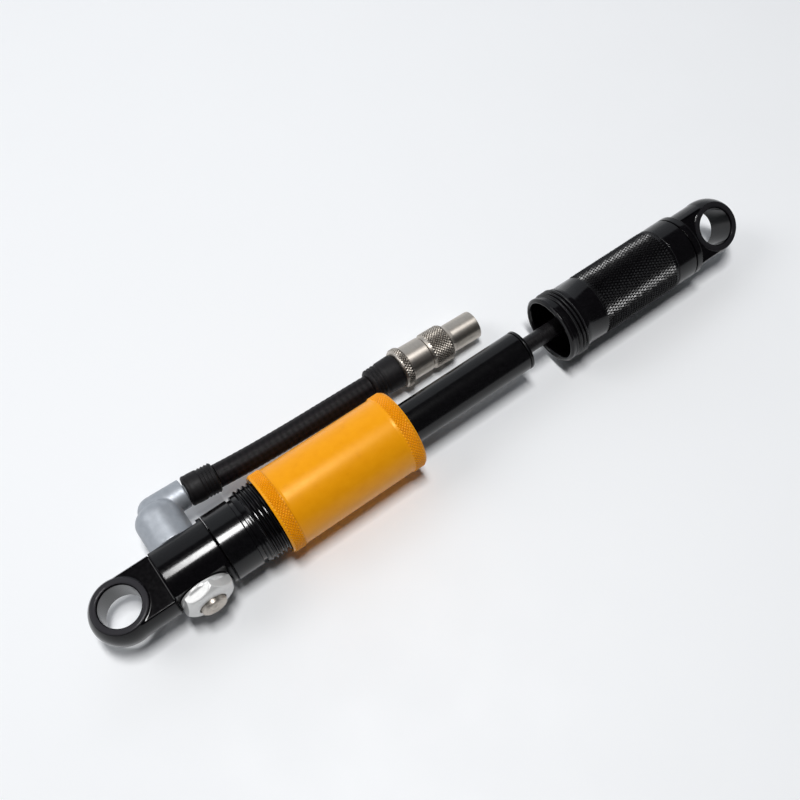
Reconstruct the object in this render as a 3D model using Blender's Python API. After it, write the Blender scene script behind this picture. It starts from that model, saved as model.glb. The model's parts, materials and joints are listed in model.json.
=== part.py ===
"""A small high pressure shock pump: head, collar, sleeve, barrel, handle, swivel hose and chuck.

The pump lies along +X on its sleeve, with its head at -X. Sizes are in metres.
Places along the pump are measured from the centre of the head's eyelet, on the pump's axis.
"""

import math

import bmesh
import bpy
from mathutils import Vector
from mathutils.geometry import interpolate_bezier

MM = 0.001

# Clearances
SEAT_GAP = 0.3 * MM
RUN_GAP = 0.35 * MM
CUT_EXTRA = 1.0 * MM
FLOOR_GAP = 0.1 * MM

# Sides of round pieces
LARGE_SIDES = 24
SMALL_SIDES = 16
RING_SIDES = 16
WIRE_SIDES = 6
ARC_STEPS = 4
CUTTER_TURN = 0.4

# Eyelets, one at each end
EYE_HOLE_RADIUS = 6.9 * MM
EYE_FACE_WIDTH = 1.6 * MM
EYE_CROWN = 2.5 * MM
EYE_THICKNESS = 12.8 * MM
TONGUE_STEP = 1.1 * MM
TONGUE_INSET = 0.2 * MM
TONGUE_ROOT = 2.0 * MM

# Head
HEAD_TONGUE = 15.2 * MM
HEAD_RADIUS = 12.0 * MM
HEAD_FRONT = 8.8 * MM
HEAD_EDGE = 0.6 * MM
SIDE_FLAT_DEPTH = 3.4 * MM
SIDE_FLAT_MARGIN = 0.7 * MM
CHAMBER_RADIUS = 4.0 * MM
CHAMBER_END = 5.5 * MM
STUD_RADIUS = 4.2 * MM
STUD_LENGTH = 4.0 * MM
SIDE_WALL = 1.0 * MM

# Check valve
BALL_RADIUS = 1.8 * MM
BALL_SIDE_GAP = 0.8 * MM
BALL_SEAT_GAP = 0.2 * MM
PORT_RADIUS = 1.1 * MM
PORT_LENGTH = 2.5 * MM
VALVE_WALL = 1.5 * MM
VALVE_FLANGE = 3.0 * MM
RETAINER_THICKNESS = 0.8 * MM
RETAINER_HOLE = 0.9 * MM
VALVE_WIRE_RADIUS = 0.2 * MM
VALVE_SPRING_TURNS = 3.5
VALVE_SPRING_SHARE = 0.7

# Collar and its thread
COLLAR_STEP = 0.1 * MM
COLLAR_LENGTH = 9.4 * MM
SPIGOT_LENGTH = 5.3 * MM
SPIGOT_WALL = 2.8 * MM
BARREL_SEAT = 2.4 * MM
UNDERCUT_LENGTH = 1.4 * MM
UNDERCUT_DEPTH = 0.7 * MM
THREAD_RADIUS = 13.1 * MM
THREAD_DEPTH = 0.8 * MM
THREAD_PITCH = 1.75 * MM
THREAD_LEAD = 0.3 * MM
THREAD_END = 0.5 * MM
COLLAR_TURNS = 6

# Barrel, gland and rod
BARREL_RADIUS = 7.5 * MM
BARREL_WALL = 1.6 * MM
BARREL_LENGTH = 121.0 * MM
GLAND_FLANGE = 1.1 * MM
GLAND_STEP = 0.2 * MM
GLAND_DEPTH = 9.0 * MM
BUSH_WALL = 1.0 * MM
BUSH_LENGTH = 5.8 * MM
GLAND_LIP = 1.0 * MM
WIPER_WALL = 1.3 * MM
ROD_RADIUS = 3.1 * MM

# Sleeve
SLEEVE_OUT = 8.0 * MM
SLEEVE_LENGTH = 53.5 * MM
SLEEVE_BAND_WIDTH = 5.3 * MM
SLEEVE_WALL = 1.0 * MM
SLEEVE_BAND_STEP = 0.5 * MM
SLEEVE_EDGE = 0.4 * MM

# Stroke: how far the handle stands out from closed
PULL_OUT = 74.5 * MM
CLOSED_GAP = 0.5 * MM

# Piston
PISTON_LENGTH = 9.0 * MM
PISTON_PIN_RADIUS = 2.2 * MM
PISTON_NUT_WALL = 1.2 * MM
PISTON_NUT_LENGTH = 2.2 * MM

# Handle
HANDLE_RADIUS = 12.0 * MM
HANDLE_WALL = 1.0 * MM
HANDLE_LENGTH = 60.4 * MM
HANDLE_TURNS = 4
GRIP_START = 17.8 * MM
GRIP_LENGTH = 34.0 * MM
GRIP_STEP = 0.2 * MM
END_RIM = 3.2 * MM
END_EDGE = 0.5 * MM
END_WALL = 0.6 * MM
END_SPIGOT = 4.0 * MM
END_CAVITY_GAP = 0.9 * MM
HANDLE_TONGUE = 13.2 * MM
HANDLE_ROLL = math.radians(35)
ROD_SOCKET = 5.2 * MM
BUMPER_THICKNESS = 0.8 * MM
BUMPER_WALL = 3.6 * MM

# Rubber rings: the room from a groove's floor to the wall it seals on, and the gap around the ring
RING_ROOM = 1.6 * MM
RING_GAP = 0.2 * MM

# Bleed valve, measured outwards from the pump's axis
BLEED_FLANGE = 1.2 * MM
BLEED_FLANGE_RADIUS = 8.5 * MM
HEX_FLATS = 16.0 * MM
HEX_LENGTH = 4.3 * MM
HEX_DOME = 3.4 * MM
HEX_TURN = math.radians(-16)
BLEED_WEB = 0.5 * MM
BUTTON_RADIUS = 4.35 * MM
BUTTON_BACK = 1.2 * MM
BUTTON_PROUD = 1.8 * MM
BUTTON_EDGE = 0.7 * MM
BUTTON_DISH = 0.6 * MM
BUTTON_NUB = 1.7 * MM
BLEED_PIN_RADIUS = 1.1 * MM
BLEED_PIN_GRIP = 1.2 * MM
BLEED_HEAD_STEP = 0.9 * MM
BLEED_HEAD_THICKNESS = 1.1 * MM
BLEED_SEAL_THICKNESS = 0.8 * MM
BLEED_SPRING_RADIUS = 3.2 * MM
BLEED_WIRE_RADIUS = 0.22 * MM
BLEED_SPRING_TURNS = 2.5

# Swivel stem and elbow, measured outwards from the pump's axis
STEM_COLLAR_STEP = 1.2 * MM
STEM_COLLAR_THICKNESS = 0.8 * MM
STEM_SPAN = 8.6 * MM
STEM_RING_SPACING = 3.2 * MM
STEM_BORE = 1.6 * MM
SNAP_THICKNESS = 0.9 * MM
SNAP_BITE = 0.6 * MM
HUB_RADIUS = 8.05 * MM
HUB_ROUND = 5.0 * MM
HUB_STRAIGHT = 10.9 * MM
ELBOW_RADIUS = 5.15 * MM
ELBOW_SIDE = 23.5 * MM
ELBOW_LENGTH = 11.6 * MM
ELBOW_BORE = 1.9 * MM
NIPPLE_RADIUS = 2.6 * MM
NIPPLE_LENGTH = 4.0 * MM
NIPPLE_GAP = 0.7 * MM

# Hose and its boots
BOOT_TURN = math.radians(4)
REAR_BOOT_RADIUS = 5.5 * MM
REAR_BOOT_LENGTH = 11.0 * MM
FRONT_BOOT_RADIUS = 6.4 * MM
FRONT_BOOT_LENGTH = 11.8 * MM
BOOT_TAPER = 0.35 * MM
BOOT_EDGE = 0.6 * MM
BOOT_GROOVE = 0.35 * MM
BOOT_GROOVE_PITCH = 1.5 * MM
BOOT_GROOVE_COUNT = 3
HOSE_RADIUS = 4.25 * MM
HOSE_LENGTH = 61.9 * MM
HOSE_EASE = 20.0 * MM
HOSE_POINTS = 5

# Chuck, measured along the hose from the hub
CHUCK_SIDE = 22.1 * MM
CHUCK_FLANGE_RADIUS = 7.6 * MM
CHUCK_FLANGE_LENGTH = 3.4 * MM
CHUCK_BODY_RADIUS = 6.55 * MM
CHUCK_BODY_LENGTH = 8.5 * MM
CHUCK_EDGE = 0.4 * MM
SPINDLE_RADIUS = 4.2 * MM
SPINDLE_LENGTH = 7.4 * MM
SPINDLE_BORE = 1.5 * MM
CHUCK_BAND_RADIUS = 7.0 * MM
CHUCK_BAND_LENGTH = 9.8 * MM
CHUCK_STEP_LENGTH = 0.9 * MM
NOSE_RADIUS = 5.4 * MM
NOSE_LENGTH = 11.5 * MM
NOSE_BORE = 3.9 * MM
NUT_WEB = 0.7 * MM
NUT_WEB_HOLE = 2.0 * MM
GASKET_THICKNESS = 2.2 * MM
GASKET_HOLE = 1.6 * MM
CHUCK_PIN_RADIUS = 0.9 * MM
CHUCK_PIN_FLANGE = 3.0 * MM
CHUCK_PIN_FLANGE_THICKNESS = 0.8 * MM
CHUCK_PIN_REACH = 6.5 * MM

# Places along the pump
EYE_RADIUS = EYE_HOLE_RADIUS + EYE_FACE_WIDTH + EYE_CROWN
CROSS_X = HEAD_TONGUE + HEAD_FRONT
SIDE_BORE = STUD_RADIUS + SEAT_GAP
HEAD_REAR_X = CROSS_X + SIDE_BORE + SIDE_WALL + SPIGOT_LENGTH
SIDE_FLAT = HEAD_RADIUS - SIDE_FLAT_DEPTH
SIDE_INNER = SIDE_FLAT - STUD_LENGTH
SPIGOT_X = HEAD_REAR_X + SEAT_GAP - SPIGOT_LENGTH
COLLAR_X = HEAD_REAR_X + SEAT_GAP
UNDERCUT_X = COLLAR_X + COLLAR_LENGTH
THREAD_X = UNDERCUT_X + UNDERCUT_LENGTH + THREAD_LEAD
COLLAR_END_X = THREAD_X + THREAD_PITCH * (COLLAR_TURNS + 0.5) + THREAD_END
SEAT_X = COLLAR_X + BARREL_SEAT
BARREL_X = SEAT_X + SEAT_GAP
BARREL_END_X = BARREL_X + BARREL_LENGTH
GLAND_X = BARREL_END_X + SEAT_GAP
PUMP_END_X = GLAND_X + GLAND_FLANGE
SLEEVE_X = THREAD_X + SLEEVE_OUT
VALVE_FACE_X = SEAT_X + SEAT_GAP + VALVE_FLANGE
PISTON_X = VALVE_FACE_X + CLOSED_GAP + PULL_OUT
BUMPER_X = PUMP_END_X + CLOSED_GAP + PULL_OUT
CAVITY_X = BUMPER_X + BUMPER_THICKNESS + SEAT_GAP
END_FACE_X = CAVITY_X + END_WALL
END_RIM_X = END_FACE_X - END_RIM
HANDLE_X = END_RIM_X - SEAT_GAP - HANDLE_LENGTH
HANDLE_EYE_X = END_FACE_X + HANDLE_TONGUE

# Fits worked out from the sizes above
THREAD_ROOT = THREAD_RADIUS - THREAD_DEPTH
BARREL_BORE = BARREL_RADIUS - BARREL_WALL
COLLAR_RADIUS = HEAD_RADIUS + COLLAR_STEP
COLLAR_BORE = BARREL_RADIUS + SEAT_GAP
VALVE_CHAMBER = BALL_RADIUS + BALL_SIDE_GAP
VALVE_RADIUS = VALVE_CHAMBER + VALVE_WALL
VALVE_BORE = VALVE_RADIUS + SEAT_GAP
SPIGOT_RADIUS = VALVE_BORE + SPIGOT_WALL
SLEEVE_BORE = THREAD_RADIUS + RUN_GAP
SLEEVE_RADIUS = SLEEVE_BORE + SLEEVE_WALL + SLEEVE_BAND_STEP
ROD_BORE = ROD_RADIUS + RUN_GAP
HANDLE_BORE = HANDLE_RADIUS - HANDLE_WALL
BUTTON_BORE = BUTTON_RADIUS + RUN_GAP
STEM_RUN = STUD_RADIUS + RUN_GAP

# Places out from the pump's axis, at the head's sides
SIDE_SEAT = SIDE_FLAT + SEAT_GAP
HEX_BASE = SIDE_SEAT + BLEED_FLANGE
HEX_FACE = HEX_BASE + HEX_LENGTH
BUTTON_INNER = HEX_FACE - BUTTON_BACK
BUTTON_FACE = HEX_FACE + BUTTON_PROUD
BLEED_FLOOR = SIDE_SEAT + BLEED_WEB
STEM_TOP = SIDE_SEAT + STEM_COLLAR_THICKNESS + STEM_SPAN
SNAP_Y = STEM_TOP - SNAP_THICKNESS - 2 * SEAT_GAP - SNAP_BITE
HUB_FLOOR = STEM_TOP + RUN_GAP

# Places along the hose
REAR_BOOT_START = SEAT_GAP + REAR_BOOT_RADIUS * math.sin(BOOT_TURN)
REAR_BOOT_END = ELBOW_LENGTH + REAR_BOOT_START + REAR_BOOT_LENGTH
FRONT_BOOT_START = REAR_BOOT_END + 2 * SEAT_GAP + HOSE_LENGTH
FRONT_BOOT_END = FRONT_BOOT_START + FRONT_BOOT_LENGTH
FLANGE_START = FRONT_BOOT_END + SEAT_GAP
CHUCK_SMOOTH_START = FLANGE_START + CHUCK_FLANGE_LENGTH
SPINDLE_START = CHUCK_SMOOTH_START + CHUCK_BODY_LENGTH
NUT_START = SPINDLE_START + RUN_GAP
BAND_END = NUT_START + CHUCK_BAND_LENGTH
NOSE_START = BAND_END + CHUCK_STEP_LENGTH
NOSE_END = NOSE_START + NOSE_LENGTH
SPINDLE_END = SPINDLE_START + SPINDLE_LENGTH
CLIP_START = SPINDLE_END - SNAP_THICKNESS - SEAT_GAP - SNAP_BITE
PIN_FLANGE_START = SPINDLE_END + SEAT_GAP
WEB_START = PIN_FLANGE_START + CHUCK_PIN_FLANGE_THICKNESS + RUN_GAP
GASKET_START = WEB_START + NUT_WEB + SEAT_GAP

# The sleeve lies on one of its flats, and the chuck's band just clears the floor
HALF_SIDE = math.pi / LARGE_SIDES
REST_HEIGHT = SLEEVE_RADIUS * math.cos(HALF_SIDE)
CHUCK_REACH = math.hypot(BAND_END, CHUCK_BAND_RADIUS)
CHUCK_ANGLE = math.atan2(CHUCK_BAND_RADIUS, BAND_END)
HOSE_DROOP = math.asin((REST_HEIGHT - FLOOR_GAP) / CHUCK_REACH) - CHUCK_ANGLE

# Origin of the part: under the middle of the pump's box
MIDDLE_X = HANDLE_EYE_X / 2
MIDDLE_Y = (ELBOW_SIDE + ELBOW_RADIUS - BUTTON_FACE) / 2

# Outwards directions of turned pieces
ALONG_PUMP = (0.0, 0.0, 0.0)
TO_NEAR_SIDE = (0.0, 0.0, -math.pi / 2)
TO_FAR_SIDE = (0.0, 0.0, math.pi / 2)


def clear_scene():
    for old in list(bpy.data.objects):
        bpy.data.objects.remove(old, do_unlink=True)


def material(name, colour, roughness, metallic):
    made = bpy.data.materials.new(name)
    made.use_nodes = True
    shader = made.node_tree.nodes["Principled BSDF"]
    shader.inputs["Base Color"].default_value = (*colour, 1.0)
    shader.inputs["Roughness"].default_value = roughness
    shader.inputs["Metallic"].default_value = metallic
    return made


def empty(name, location=(0, 0, 0), rotation=(0, 0, 0), parent=None):
    made = bpy.data.objects.new(name, None)
    made.location = location
    made.rotation_euler = rotation
    made.parent = parent
    bpy.context.collection.objects.link(made)
    return made


def placed(name, data, finish, parent, location=(0, 0, 0), rotation=ALONG_PUMP):
    """A named piece on its parent."""
    made = bpy.data.objects.new(name, data)
    data.materials.append(finish)
    made.location = location
    made.rotation_euler = rotation
    made.parent = parent
    bpy.context.collection.objects.link(made)
    if made.type == "MESH":
        data.shade_smooth()
        data.set_sharp_from_angle(angle=math.radians(35))
    return made


def tool(data, parent, location=(0, 0, 0), rotation=ALONG_PUMP):
    """A hidden shape that cuts or joins another."""
    made = bpy.data.objects.new(data.name, data)
    made.location = location
    made.rotation_euler = rotation
    made.parent = parent
    made.hide_render = True
    made.display_type = "WIRE"
    bpy.context.collection.objects.link(made)
    return made


def combine(target, operation, other):
    step = target.modifiers.new(other.name, "BOOLEAN")
    step.operation = operation
    step.solver = "EXACT"
    step.object = other


def mesh_from(name, shape):
    bmesh.ops.recalc_face_normals(shape, faces=shape.faces)
    mesh = bpy.data.meshes.new(name)
    shape.to_mesh(mesh)
    shape.free()
    return mesh


def turned(name, outline, sides=LARGE_SIDES, upright=False, phase=0.0):
    """Spin an outline of (along, radius) points about +X, or about +Z when upright."""
    shape = bmesh.new()
    side, up = math.sin(phase), math.cos(phase)
    axis = Vector((0, 0, 1)) if upright else Vector((1, 0, 0))
    out = Vector((side, up, 0)) if upright else Vector((0, side, up))
    points = [shape.verts.new(axis * along + out * radius) for along, radius in outline]
    edges = [shape.edges.new(pair) for pair in zip(points, points[1:])]
    if outline[0][1] > 0 or outline[-1][1] > 0:
        edges.append(shape.edges.new((points[-1], points[0])))
    bmesh.ops.spin(
        shape, geom=points + edges, cent=(0, 0, 0), axis=axis,
        angle=2 * math.pi, steps=sides, use_merge=True,
    )
    bmesh.ops.remove_doubles(shape, verts=shape.verts, dist=MM * 1e-4)
    return mesh_from(name, shape)


def off_phase(sides):
    """A turn that keeps a cutter's corners off the edges of the faces it cuts."""
    return 2 * math.pi / sides * CUTTER_TURN


def bore(name, start, end, radius, sides=LARGE_SIDES, upright=False):
    """A round cutter."""
    outline = [(start, 0), (start, radius), (end, radius), (end, 0)]
    return turned(name, outline, sides, upright, off_phase(sides))


def tube(name, start, end, inner, outer, sides=SMALL_SIDES):
    return turned(name, [(start, inner), (start, outer), (end, outer), (end, inner)], sides)


def rubber_ring(name, start, floor):
    """An O-ring of round section in a square groove that begins at start."""
    thick = RING_ROOM / 2 - RING_GAP
    middle = start + RING_ROOM / 2
    centre = floor + RING_ROOM / 2
    turns = [2 * math.pi * step / WIRE_SIDES for step in range(WIRE_SIDES)]
    outline = [(middle + thick * math.cos(t), centre + thick * math.sin(t)) for t in turns]
    return turned(name, outline, RING_SIDES)


def arc(along, radius, size, start, end, steps=ARC_STEPS):
    """Points on a round stretch of an outline, angles in degrees from +along."""
    turns = [math.radians(start + (end - start) * step / steps) for step in range(steps + 1)]
    return [(along + size * math.cos(t), radius + size * math.sin(t)) for t in turns]


def crown(half, face, outer, steps=2 * ARC_STEPS):
    """The round stretch from (half, face) over (0, outer) to (-half, face)."""
    centre = (outer**2 - face**2 - half**2) / (2 * (outer - face))
    size = outer - centre
    reach = math.asin(half / size)
    turns = [reach - 2 * reach * step / steps for step in range(steps + 1)]
    return [(size * math.sin(t), centre + size * math.cos(t)) for t in turns]


def prism(name, section, start, end):
    """A section of (y, z) points drawn out along X."""
    shape = bmesh.new()
    face = shape.faces.new([shape.verts.new((start, y, z)) for y, z in section])
    moved = bmesh.ops.extrude_face_region(shape, geom=[face])["geom"]
    corners = [part for part in moved if isinstance(part, bmesh.types.BMVert)]
    bmesh.ops.translate(shape, verts=corners, vec=(end - start, 0, 0))
    return mesh_from(name, shape)


def block(name, low, high):
    """A box between two corners."""
    section = [(low[1], low[2]), (high[1], low[2]), (high[1], high[2]), (low[1], high[2])]
    return prism(name, section, low[0], high[0])


def threaded(name, before, start, turns, root, after, sides=LARGE_SIDES):
    """Spin an outline with a right-hand V thread between its two stretches. The thread fades in and out."""
    shape = bmesh.new()

    def point(along, radius, step):
        turn = 2 * math.pi * step / sides
        return shape.verts.new((along, -radius * math.sin(turn), radius * math.cos(turn)))

    def hoop(along, radius):
        return [point(along, radius, step) for step in range(sides)]

    def join(first, second):
        for here in range(sides):
            there = (here + 1) % sides
            shape.faces.new((first[here], first[there], second[there], second[here]))

    hoops = [hoop(*place) for place in before]
    ends = [hoop(*place) for place in after]
    for first, second in zip(hoops, hoops[1:]):
        join(first, second)
    for first, second in zip(ends, ends[1:]):
        join(first, second)
    join(ends[-1], hoops[0])

    steps = turns * sides
    fade = sides / 2
    crests = []
    roots = []
    for step in range(steps + 1):
        along = start + THREAD_PITCH * step / sides
        height = THREAD_DEPTH * min(1, step / fade, (steps - step) / fade)
        crests.append(point(along, root + height, step))
        roots.append(point(along + THREAD_PITCH / 2, root, step))
    for step in range(steps):
        shape.faces.new((crests[step], crests[step + 1], roots[step + 1], roots[step]))
    for step in range(steps - sides):
        above = step + sides
        shape.faces.new((roots[step], roots[step + 1], crests[above + 1], crests[above]))

    first, last = hoops[-1], ends[0]
    for step in range(sides):
        following = (step + 1) % sides
        late = steps - sides + step
        shape.faces.new((first[step], first[following], crests[step + 1], crests[step]))
        shape.faces.new((roots[late], roots[late + 1], last[following], last[step]))
    shape.faces.new((first[0], crests[0], crests[sides]))
    shape.faces.new((crests[0], roots[0], crests[sides]))
    shape.faces.new((last[0], roots[steps], crests[steps]))
    shape.faces.new((last[0], crests[steps], roots[steps - sides]))
    return mesh_from(name, shape)


def coil(name, start, end, radius, wire, turns):
    """A spring along +X. It prints the least gap between its turns."""
    count = round(turns * 10)
    points = []
    for step in range(count + 1):
        turn = 2 * math.pi * turns * step / count
        along = start + wire + (end - start - 2 * wire) * step / count
        points.append(Vector((along, radius * math.sin(turn), radius * math.cos(turn))))
    pairs = [(a, b) for i, a in enumerate(points) for b in points[i + 6:]]
    least = min((a - b).length for a, b in pairs) - 2 * wire
    print(f"{name}: least gap between turns {least / MM:.2f} mm")
    return tube_curve(name, points, wire, 1)


def tube_curve(name, points, radius, resolution):
    curve = bpy.data.curves.new(name, "CURVE")
    curve.dimensions = "3D"
    curve.bevel_depth = radius
    curve.bevel_resolution = resolution
    curve.use_fill_caps = True
    spline = curve.splines.new("POLY")
    spline.points.add(len(points) - 1)
    for knot, place in zip(spline.points, points):
        knot.co = (*place, 1.0)
    return curve


def eyelet_forms(name, tongue_end):
    """The crowned eyelet, its tongue towards +X and its hole, all about the eyelet's centre."""
    half = EYE_THICKNESS / 2
    face = EYE_HOLE_RADIUS + EYE_FACE_WIDTH
    disc = [(half, 0), *crown(half, face, EYE_RADIUS), (-half, 0)]
    flat = half - TONGUE_STEP
    wide = EYE_RADIUS - TONGUE_INSET
    side = crown(flat, wide - EYE_CROWN, wide)
    section = [(y, z) for z, y in side] + [(-y, z) for z, y in reversed(side)]
    return (
        turned(name + "_disc", disc, upright=True),
        prism(name + "_tongue", section, 0, tongue_end),
        bore(name + "_hole", -half - CUT_EXTRA, half + CUT_EXTRA, EYE_HOLE_RADIUS, upright=True),
    )


def add_head(frame, finish):
    outline = [
        (HEAD_TONGUE, 0),
        (HEAD_TONGUE, HEAD_RADIUS - HEAD_EDGE),
        *arc(HEAD_TONGUE + HEAD_EDGE, HEAD_RADIUS - HEAD_EDGE, HEAD_EDGE, 150, 90, 2),
        (HEAD_REAR_X, HEAD_RADIUS),
        (HEAD_REAR_X, 0),
    ]
    head = placed("head_body", turned("head_body", outline), finish, frame)
    disc, tongue, hole = eyelet_forms("head_eye", HEAD_TONGUE + TONGUE_ROOT)
    combine(head, "UNION", tool(tongue, frame))
    combine(head, "UNION", tool(disc, frame))
    combine(head, "DIFFERENCE", tool(hole, frame))

    reach = HEAD_RADIUS + CUT_EXTRA
    flat_start = HEAD_TONGUE - SEAT_GAP
    flat_end = CROSS_X + BLEED_FLANGE_RADIUS + SIDE_FLAT_MARGIN
    near = block("near_flat", (flat_start, -reach, -reach), (flat_end, -SIDE_FLAT, reach))
    far = block("far_flat", (flat_start, SIDE_FLAT, -reach), (flat_end, reach, reach))
    socket_x = SPIGOT_X - SEAT_GAP
    rear = HEAD_REAR_X + CUT_EXTRA
    socket = bore("collar_socket", socket_x, rear, SPIGOT_RADIUS + SEAT_GAP)
    chamber = bore("chamber", CROSS_X - CHAMBER_END, rear, CHAMBER_RADIUS, SMALL_SIDES)
    cross = bore("cross_bore", -reach, reach, SIDE_BORE, SMALL_SIDES)
    for cutter in (near, far, socket, chamber):
        combine(head, "DIFFERENCE", tool(cutter, frame))
    combine(head, "DIFFERENCE", tool(cross, frame, (CROSS_X, 0, 0), TO_FAR_SIDE))


def groove(start, rim, floor):
    """Outline points of a square ring groove, in the order of rising along."""
    end = start + RING_ROOM
    return [(start, rim), (start, floor), (end, floor), (end, rim)]


def add_collar(frame, metal, rubber):
    seal_x = SEAT_X + RING_ROOM
    spigot_seal_x = SPIGOT_X + SIDE_WALL
    spigot_floor = SPIGOT_RADIUS + SEAT_GAP - RING_ROOM
    before = [
        (COLLAR_END_X, COLLAR_BORE),
        *reversed(groove(seal_x, COLLAR_BORE, BARREL_RADIUS + RING_ROOM)),
        (SEAT_X, COLLAR_BORE),
        (SEAT_X, VALVE_BORE),
        (SPIGOT_X, VALVE_BORE),
        (SPIGOT_X, SPIGOT_RADIUS),
        *groove(spigot_seal_x, SPIGOT_RADIUS, spigot_floor),
        (COLLAR_X, SPIGOT_RADIUS),
        (COLLAR_X, COLLAR_RADIUS),
        (UNDERCUT_X, COLLAR_RADIUS),
        (UNDERCUT_X, COLLAR_RADIUS - UNDERCUT_DEPTH),
        (UNDERCUT_X + UNDERCUT_LENGTH, COLLAR_RADIUS - UNDERCUT_DEPTH),
        (UNDERCUT_X + UNDERCUT_LENGTH, THREAD_ROOT),
    ]
    after = [(COLLAR_END_X, THREAD_ROOT - THREAD_END)]
    mesh = threaded("threaded_collar", before, THREAD_X, COLLAR_TURNS, THREAD_ROOT, after)
    placed("threaded_collar", mesh, metal, frame)
    placed("barrel_oring", rubber_ring("barrel_oring", seal_x, BARREL_RADIUS), rubber, frame)
    placed("collar_oring", rubber_ring("collar_oring", spigot_seal_x, spigot_floor), rubber, frame)


def add_check_valve(frame, brass, steel):
    start = SPIGOT_X + SEAT_GAP
    port_x = VALVE_FACE_X - PORT_LENGTH
    outline = [
        (start, VALVE_CHAMBER),
        (start, VALVE_RADIUS),
        (SEAT_X + SEAT_GAP, VALVE_RADIUS),
        (SEAT_X + SEAT_GAP, BARREL_BORE - SEAT_GAP),
        (VALVE_FACE_X, BARREL_BORE - SEAT_GAP),
        (VALVE_FACE_X, PORT_RADIUS),
        (port_x, PORT_RADIUS),
        (port_x, VALVE_CHAMBER),
    ]
    body = turned("check_valve_body", outline, SMALL_SIDES)
    placed("check_valve_body", body, brass, frame)

    drop = math.sqrt(BALL_RADIUS**2 - PORT_RADIUS**2)
    ball_x = port_x - drop - BALL_SEAT_GAP
    ball = turned("check_valve_ball", arc(0, 0, BALL_RADIUS, 180, 0, 8), SMALL_SIDES)
    placed("check_valve_ball", ball, steel, frame, (ball_x, 0, 0))

    retainer_outer = VALVE_CHAMBER - SEAT_GAP
    retainer_end = start + RETAINER_THICKNESS
    retainer = tube("check_valve_retainer", start, retainer_end, RETAINER_HOLE, retainer_outer)
    placed("check_valve_retainer", retainer, brass, frame)

    radius = VALVE_SPRING_SHARE * BALL_RADIUS
    spring_end = ball_x - math.sqrt(BALL_RADIUS**2 - radius**2) - SEAT_GAP
    spring = coil(
        "check_valve_spring", retainer_end + SEAT_GAP, spring_end,
        radius, VALVE_WIRE_RADIUS, VALVE_SPRING_TURNS,
    )
    placed("check_valve_spring", spring, steel, frame)


def add_barrel(frame, black, bronze, rubber):
    barrel = tube("barrel", BARREL_X, BARREL_END_X, BARREL_BORE, BARREL_RADIUS, LARGE_SIDES)
    placed("barrel", barrel, black, frame)

    inner_x = BARREL_END_X - GLAND_DEPTH
    bush_end = inner_x + BUSH_LENGTH
    lip_x = bush_end + SEAT_GAP
    wiper_x = lip_x + GLAND_LIP
    bush_radius = ROD_BORE + BUSH_WALL
    wiper_radius = ROD_BORE + WIPER_WALL
    outline = [
        (inner_x, bush_radius + SEAT_GAP),
        (inner_x, BARREL_BORE - SEAT_GAP),
        (GLAND_X, BARREL_BORE - SEAT_GAP),
        (GLAND_X, BARREL_RADIUS + GLAND_STEP),
        (PUMP_END_X, BARREL_RADIUS + GLAND_STEP),
        (PUMP_END_X, wiper_radius + SEAT_GAP),
        (wiper_x, wiper_radius + SEAT_GAP),
        (wiper_x, ROD_BORE + RING_GAP),
        (lip_x, ROD_BORE + RING_GAP),
        (lip_x, bush_radius + SEAT_GAP),
    ]
    placed("gland_cap", turned("gland_cap", outline, LARGE_SIDES), black, frame)
    placed("gland_bush", tube("gland_bush", inner_x, bush_end, ROD_BORE, bush_radius), bronze, frame)
    wiper = tube("rod_wiper", wiper_x + SEAT_GAP, PUMP_END_X - SEAT_GAP, ROD_BORE, wiper_radius)
    placed("rod_wiper", wiper, rubber, frame)


def add_sleeve(frame, finish):
    end = SLEEVE_X + SLEEVE_LENGTH
    middle = SLEEVE_RADIUS - SLEEVE_BAND_STEP
    outline = [
        (SLEEVE_X, SLEEVE_BORE + SLEEVE_EDGE),
        (SLEEVE_X, SLEEVE_RADIUS - SLEEVE_EDGE),
        (SLEEVE_X + SLEEVE_EDGE, SLEEVE_RADIUS),
        (SLEEVE_X + SLEEVE_BAND_WIDTH, SLEEVE_RADIUS),
        (SLEEVE_X + SLEEVE_BAND_WIDTH + SLEEVE_EDGE, middle),
        (end - SLEEVE_BAND_WIDTH - SLEEVE_EDGE, middle),
        (end - SLEEVE_BAND_WIDTH, SLEEVE_RADIUS),
        (end - SLEEVE_EDGE, SLEEVE_RADIUS),
        (end, SLEEVE_RADIUS - SLEEVE_EDGE),
        (end, SLEEVE_BORE + SLEEVE_EDGE),
        (end - SLEEVE_EDGE, SLEEVE_BORE),
        (SLEEVE_X + SLEEVE_EDGE, SLEEVE_BORE),
    ]
    placed("lock_sleeve", turned("lock_sleeve", outline, phase=HALF_SIDE), finish, frame)


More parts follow.
